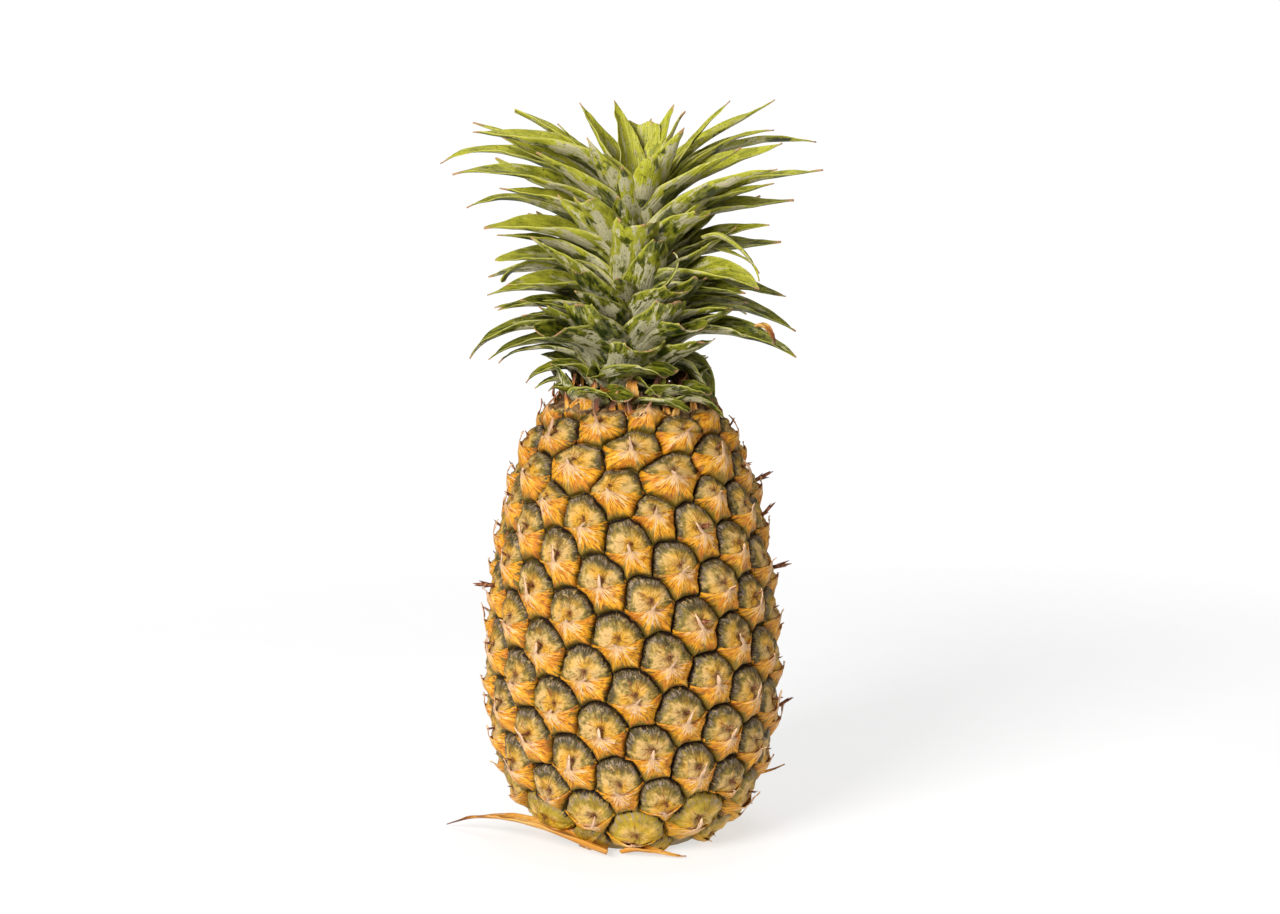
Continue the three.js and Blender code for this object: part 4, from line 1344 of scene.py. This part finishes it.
dry_finish, w, join = new_material("dry_bract_finish", 0.55, 0.0005)
size = w.read("leaf_size")
share = w.parts(w.read("leaf_share"))
fibres = w.grain(w.stretch(size, (45.0, 2.0, 1)), 1.0, 3.0, 0.6)
stains = w.grain(w.stretch(size, (7.0, 5.0, 1)), 1.0, 3.0, 0.6)
up = w.line(stains, 0.8, w.plus(share["Y"], -0.4))
at_foot = w.parts(w.read("leaf_tier"))["X"]
up = w.sum("SUBTRACT", up, w.rise(at_foot, -1.0, -2.0, 0.0, 0.45))
seed = w.parts(w.read("leaf_kind"))["Y"]
up = w.plus(up, w.line(seed, 0.7, -0.35))
colour = w.ramp(up, [(0, AMBER), (0.25, STRAW), (0.45, AMBER), (0.65, DRY_BROWN), (0.9, DRY_DARK)])
colour = w.blend(w.rise(fibres, 0.5, 0.64, 0.0, 0.75), colour, BARK)
colour = w.blend(w.rise(fibres, 0.44, 0.34, 0.0, 0.6), colour, FIBRE_PALE)
join(colour, fibres)
print("material:", dry_finish.name)

# %% Lay the dry bracts
FOOT_SEED, COLLAR_SEED = 60, 700


def finish_dry(piece, *replaced):
    piece.data.materials.append(dry_finish)
    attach(piece, "root")
    if replaced:
        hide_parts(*replaced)


for name in ("basal_bract_long", "basal_bract_short"):
    label, seed = name.replace("basal", "foot"), FOOT_SEED + len(name)
    made = bent_blade(label, blade_frame(name), seed, 1.0, 0.0, 1.1, 1.1, thick=1.2, root_share=0.9)
    finish_dry(made, name)

for label in ODD_DRY:
    finish_dry(bpy.data.objects["leaf_" + label])

COLLAR_ROWS = (
    # count, radius, foot height, rise, outward reach, width
    (23, 32, 186, 11, 3, 5),
    (23, 28, 189, 12, 5, 5),
    (19, 21, 192, 13, 7, 7),
)
number = 0
for count, radius, foot, rise, reach, width in COLLAR_ROWS:
    for k in range(count):
        draw = random.Random(COLLAR_SEED + number)
        azimuth = 360 * (k + 0.5 * (number % 2) + draw.uniform(-0.25, 0.25)) / count
        out = compass(math.radians(azimuth))
        root = out * radius + (0, 0, foot)
        tip = out * (radius + reach * draw.uniform(-0.6, 1.3)) + (0, 0, foot + rise * draw.uniform(0.6, 1.25))
        tip_way = slanted(azimuth + draw.uniform(-50, 50), draw.uniform(20, 90))
        shape = curve_frame(root, slanted(azimuth, 50), tip, tip_way, width * draw.uniform(0.8, 1.2), radius)
        number += 1
        label, seed = f"collar_bract_{number:02d}", COLLAR_SEED + number
        bent_blade(label, shape, seed, 1.0, 0.05, 1, 1, thick=0.9, root_share=1.0)
bpy.ops.object.select_all(action="DESELECT")
collar = [piece for piece in bpy.data.objects if piece.name.startswith("collar_bract_")]
for piece in collar:
    piece.select_set(True)
bpy.context.view_layer.objects.active = collar[0]
bpy.ops.object.join()
collar[0].name = "collar_bracts"
finish_dry(collar[0])
print("collar bracts:", number)

# %% [markdown]
# ## Withered flowers
# Every eye was a flower. Most have left a brown stub in the pit, and some a dry tuft that stands out
# from the fruit. One tuft is modelled from four prongs, each a short rod that is drawn out in three
# steps and bent, and it is copied to the eyes.

# %% Model the tuft
PRONGS = (
    # lean, turn, size
    (0.05, 0.0, 1.0),
    (0.25, 2.1, 0.75),
    (0.22, 4.2, 0.9),
    (0.4, 5.4, 0.55),
)
PRONG_STEPS = ((2.0, 0.85), (2.0, 0.6), (1.6, 0.25))
PRONG_RADIUS, PRONG_ROD = 0.75, 2


def is_end(face):
    """Whether this is a level face at the prong's upper end."""
    return face.calc_center_median().z > max(v.co.z for v in face.verts) - 0.01 and face.normal.z > 0.9


tuft_points, tuft_faces = [], []
for lean, turn, size_share in PRONGS:
    bpy.ops.object.select_all(action="DESELECT")
    middle = (0, 0, PRONG_ROD / 2)
    bpy.ops.mesh.primitive_cylinder_add(
        vertices=5, radius=PRONG_RADIUS, depth=PRONG_ROD, location=middle, end_fill_type="TRIFAN"
    )
    prong = bpy.context.object
    bpy.ops.object.transform_apply(location=True)
    take_up(prong, select_mode="FACE")
    for step_up, narrow in PRONG_STEPS:
        select_only(is_end, "faces")
        bpy.ops.mesh.extrude_region_move()
        aside = lean * step_up
        bpy.ops.transform.translate(value=(aside * math.cos(turn), aside * math.sin(turn), step_up))
        picked = [v.co for v in bmesh.from_edit_mesh(prong.data).verts if v.select]
        bpy.ops.transform.resize(value=(narrow, narrow, 1), center_override=tuple(np.mean(picked, 0)))
    bpy.ops.object.mode_set(mode="OBJECT")
    tuft_faces += [tuple(v + len(tuft_points) for v in p.vertices) for p in prong.data.polygons]
    tuft_points += [np.array(v.co) * size_share for v in prong.data.vertices]
    bpy.data.objects.remove(prong)
tuft_points = np.array(tuft_points)
print("tuft faces:", len(tuft_faces), " height, mm:", round(tuft_points[:, 2].max(), 1))

# %% Put a tuft in every pit
LARGE_TUFTS = (
    # azimuth, height
    (86, 156), (90, 141), (84, 126), (92, 104), (86, 60),
    (34, 134), (28, 92), (-84, 120), (150, 118), (205, 80),
)
LARGE, SMALL, SMALL_SPREAD = 1.3, 0.3, 0.45
TUFT_SUNK = 0.3
WITHER_DARK, WITHER, WITHER_PALE = (0.05, 0.015, 0.008), (0.22, 0.07, 0.025), (0.50, 0.25, 0.12)


def nearest_eye(azimuth, height):
    x, y, _ = compass(math.radians(azimuth))
    place, _ = onto_skin(np.array([[x, y, height]]))
    return int(np.linalg.norm(eye_points - place, axis=1).argmin())


proud = {nearest_eye(azimuth, height) for azimuth, height in LARGE_TUFTS}
points, faces = [], []
for cell in cells:
    scale = LARGE if cell.knot in proud else SMALL + SMALL_SPREAD * cell.seed[3]
    place, normal = cell.spread(np.array([PIT[0] + 0.05 * (cell.seed[1] - 0.5)]), np.array([PIT[1]]))
    out = normal[0]
    right = np.array([math.cos(azimuths[cell.knot]), math.sin(azimuths[cell.knot]), 0])
    up = np.cross(out, right)
    turn = 6.3 * cell.seed[2]
    first = right * math.cos(turn) + up * math.sin(turn)
    second = np.cross(out, first)
    axis = out + 0.9 * up * cell.seed[4]
    axis /= np.linalg.norm(axis)
    x, y, z = (tuft_points * scale).T
    foot = place[0] + out * (float(relief(*PIT, cell.seed)) - TUFT_SUNK)
    faces += [tuple(v + len(points) for v in face) for face in tuft_faces]
    points += list(foot + x[:, None] * first + y[:, None] * second + z[:, None] * axis)
tufts = new_piece("withered_flowers", points, faces)
tuft_finish, w, join = new_material("withered_finish", 0.7, 0.0003)
place = w.node("TexCoord", output="Object")
wither = w.grain(place, 600.0, 3.0, 0.6)
join(w.ramp(wither, [(0.35, WITHER_DARK), (0.5, WITHER), (0.68, WITHER_PALE)]), wither)
tufts.data.materials.append(tuft_finish)
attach(tufts, "root")
print("tufts:", EYE_COUNT, " proud ones:", len(proud))

# %% [markdown]
# ## Stem and stalk
# The crown's stem hardly shows between the leaves, and the stalk's cut only from below. Their CAD shapes
# are right, so they stay and get a fibrous finish of their own.

# %% Material: stem and stalk
def fibrous(name, dark, pale, node):
    finish, w, join = new_material(name, 0.7, 0.0006)
    place = w.node("TexCoord", output="Object")
    fibre = w.grain(w.stretch(place, (900.0, 900.0, 60.0)), 1.0, 3.0, 0.6)
    stain = w.grain(place, 110.0, 3.0, 0.6)
    colour = w.blend(w.rise(fibre, 0.4, 0.62), dark, pale)
    join(w.blend(w.rise(stain, 0.45, 0.65, 0.0, 0.6), colour, dark), fibre)
    nodes[node].data.materials[0] = finish
    print("material:", finish.name)


fibrous("stem_finish", (0.07, 0.08, 0.02), (0.24, 0.24, 0.10), "crown_stem")
fibrous("cut_stalk_finish", (0.14, 0.07, 0.03), (0.46, 0.31, 0.15), "stalk_stub")

# %% [markdown]
# ## Finish

# %% Finish
import json
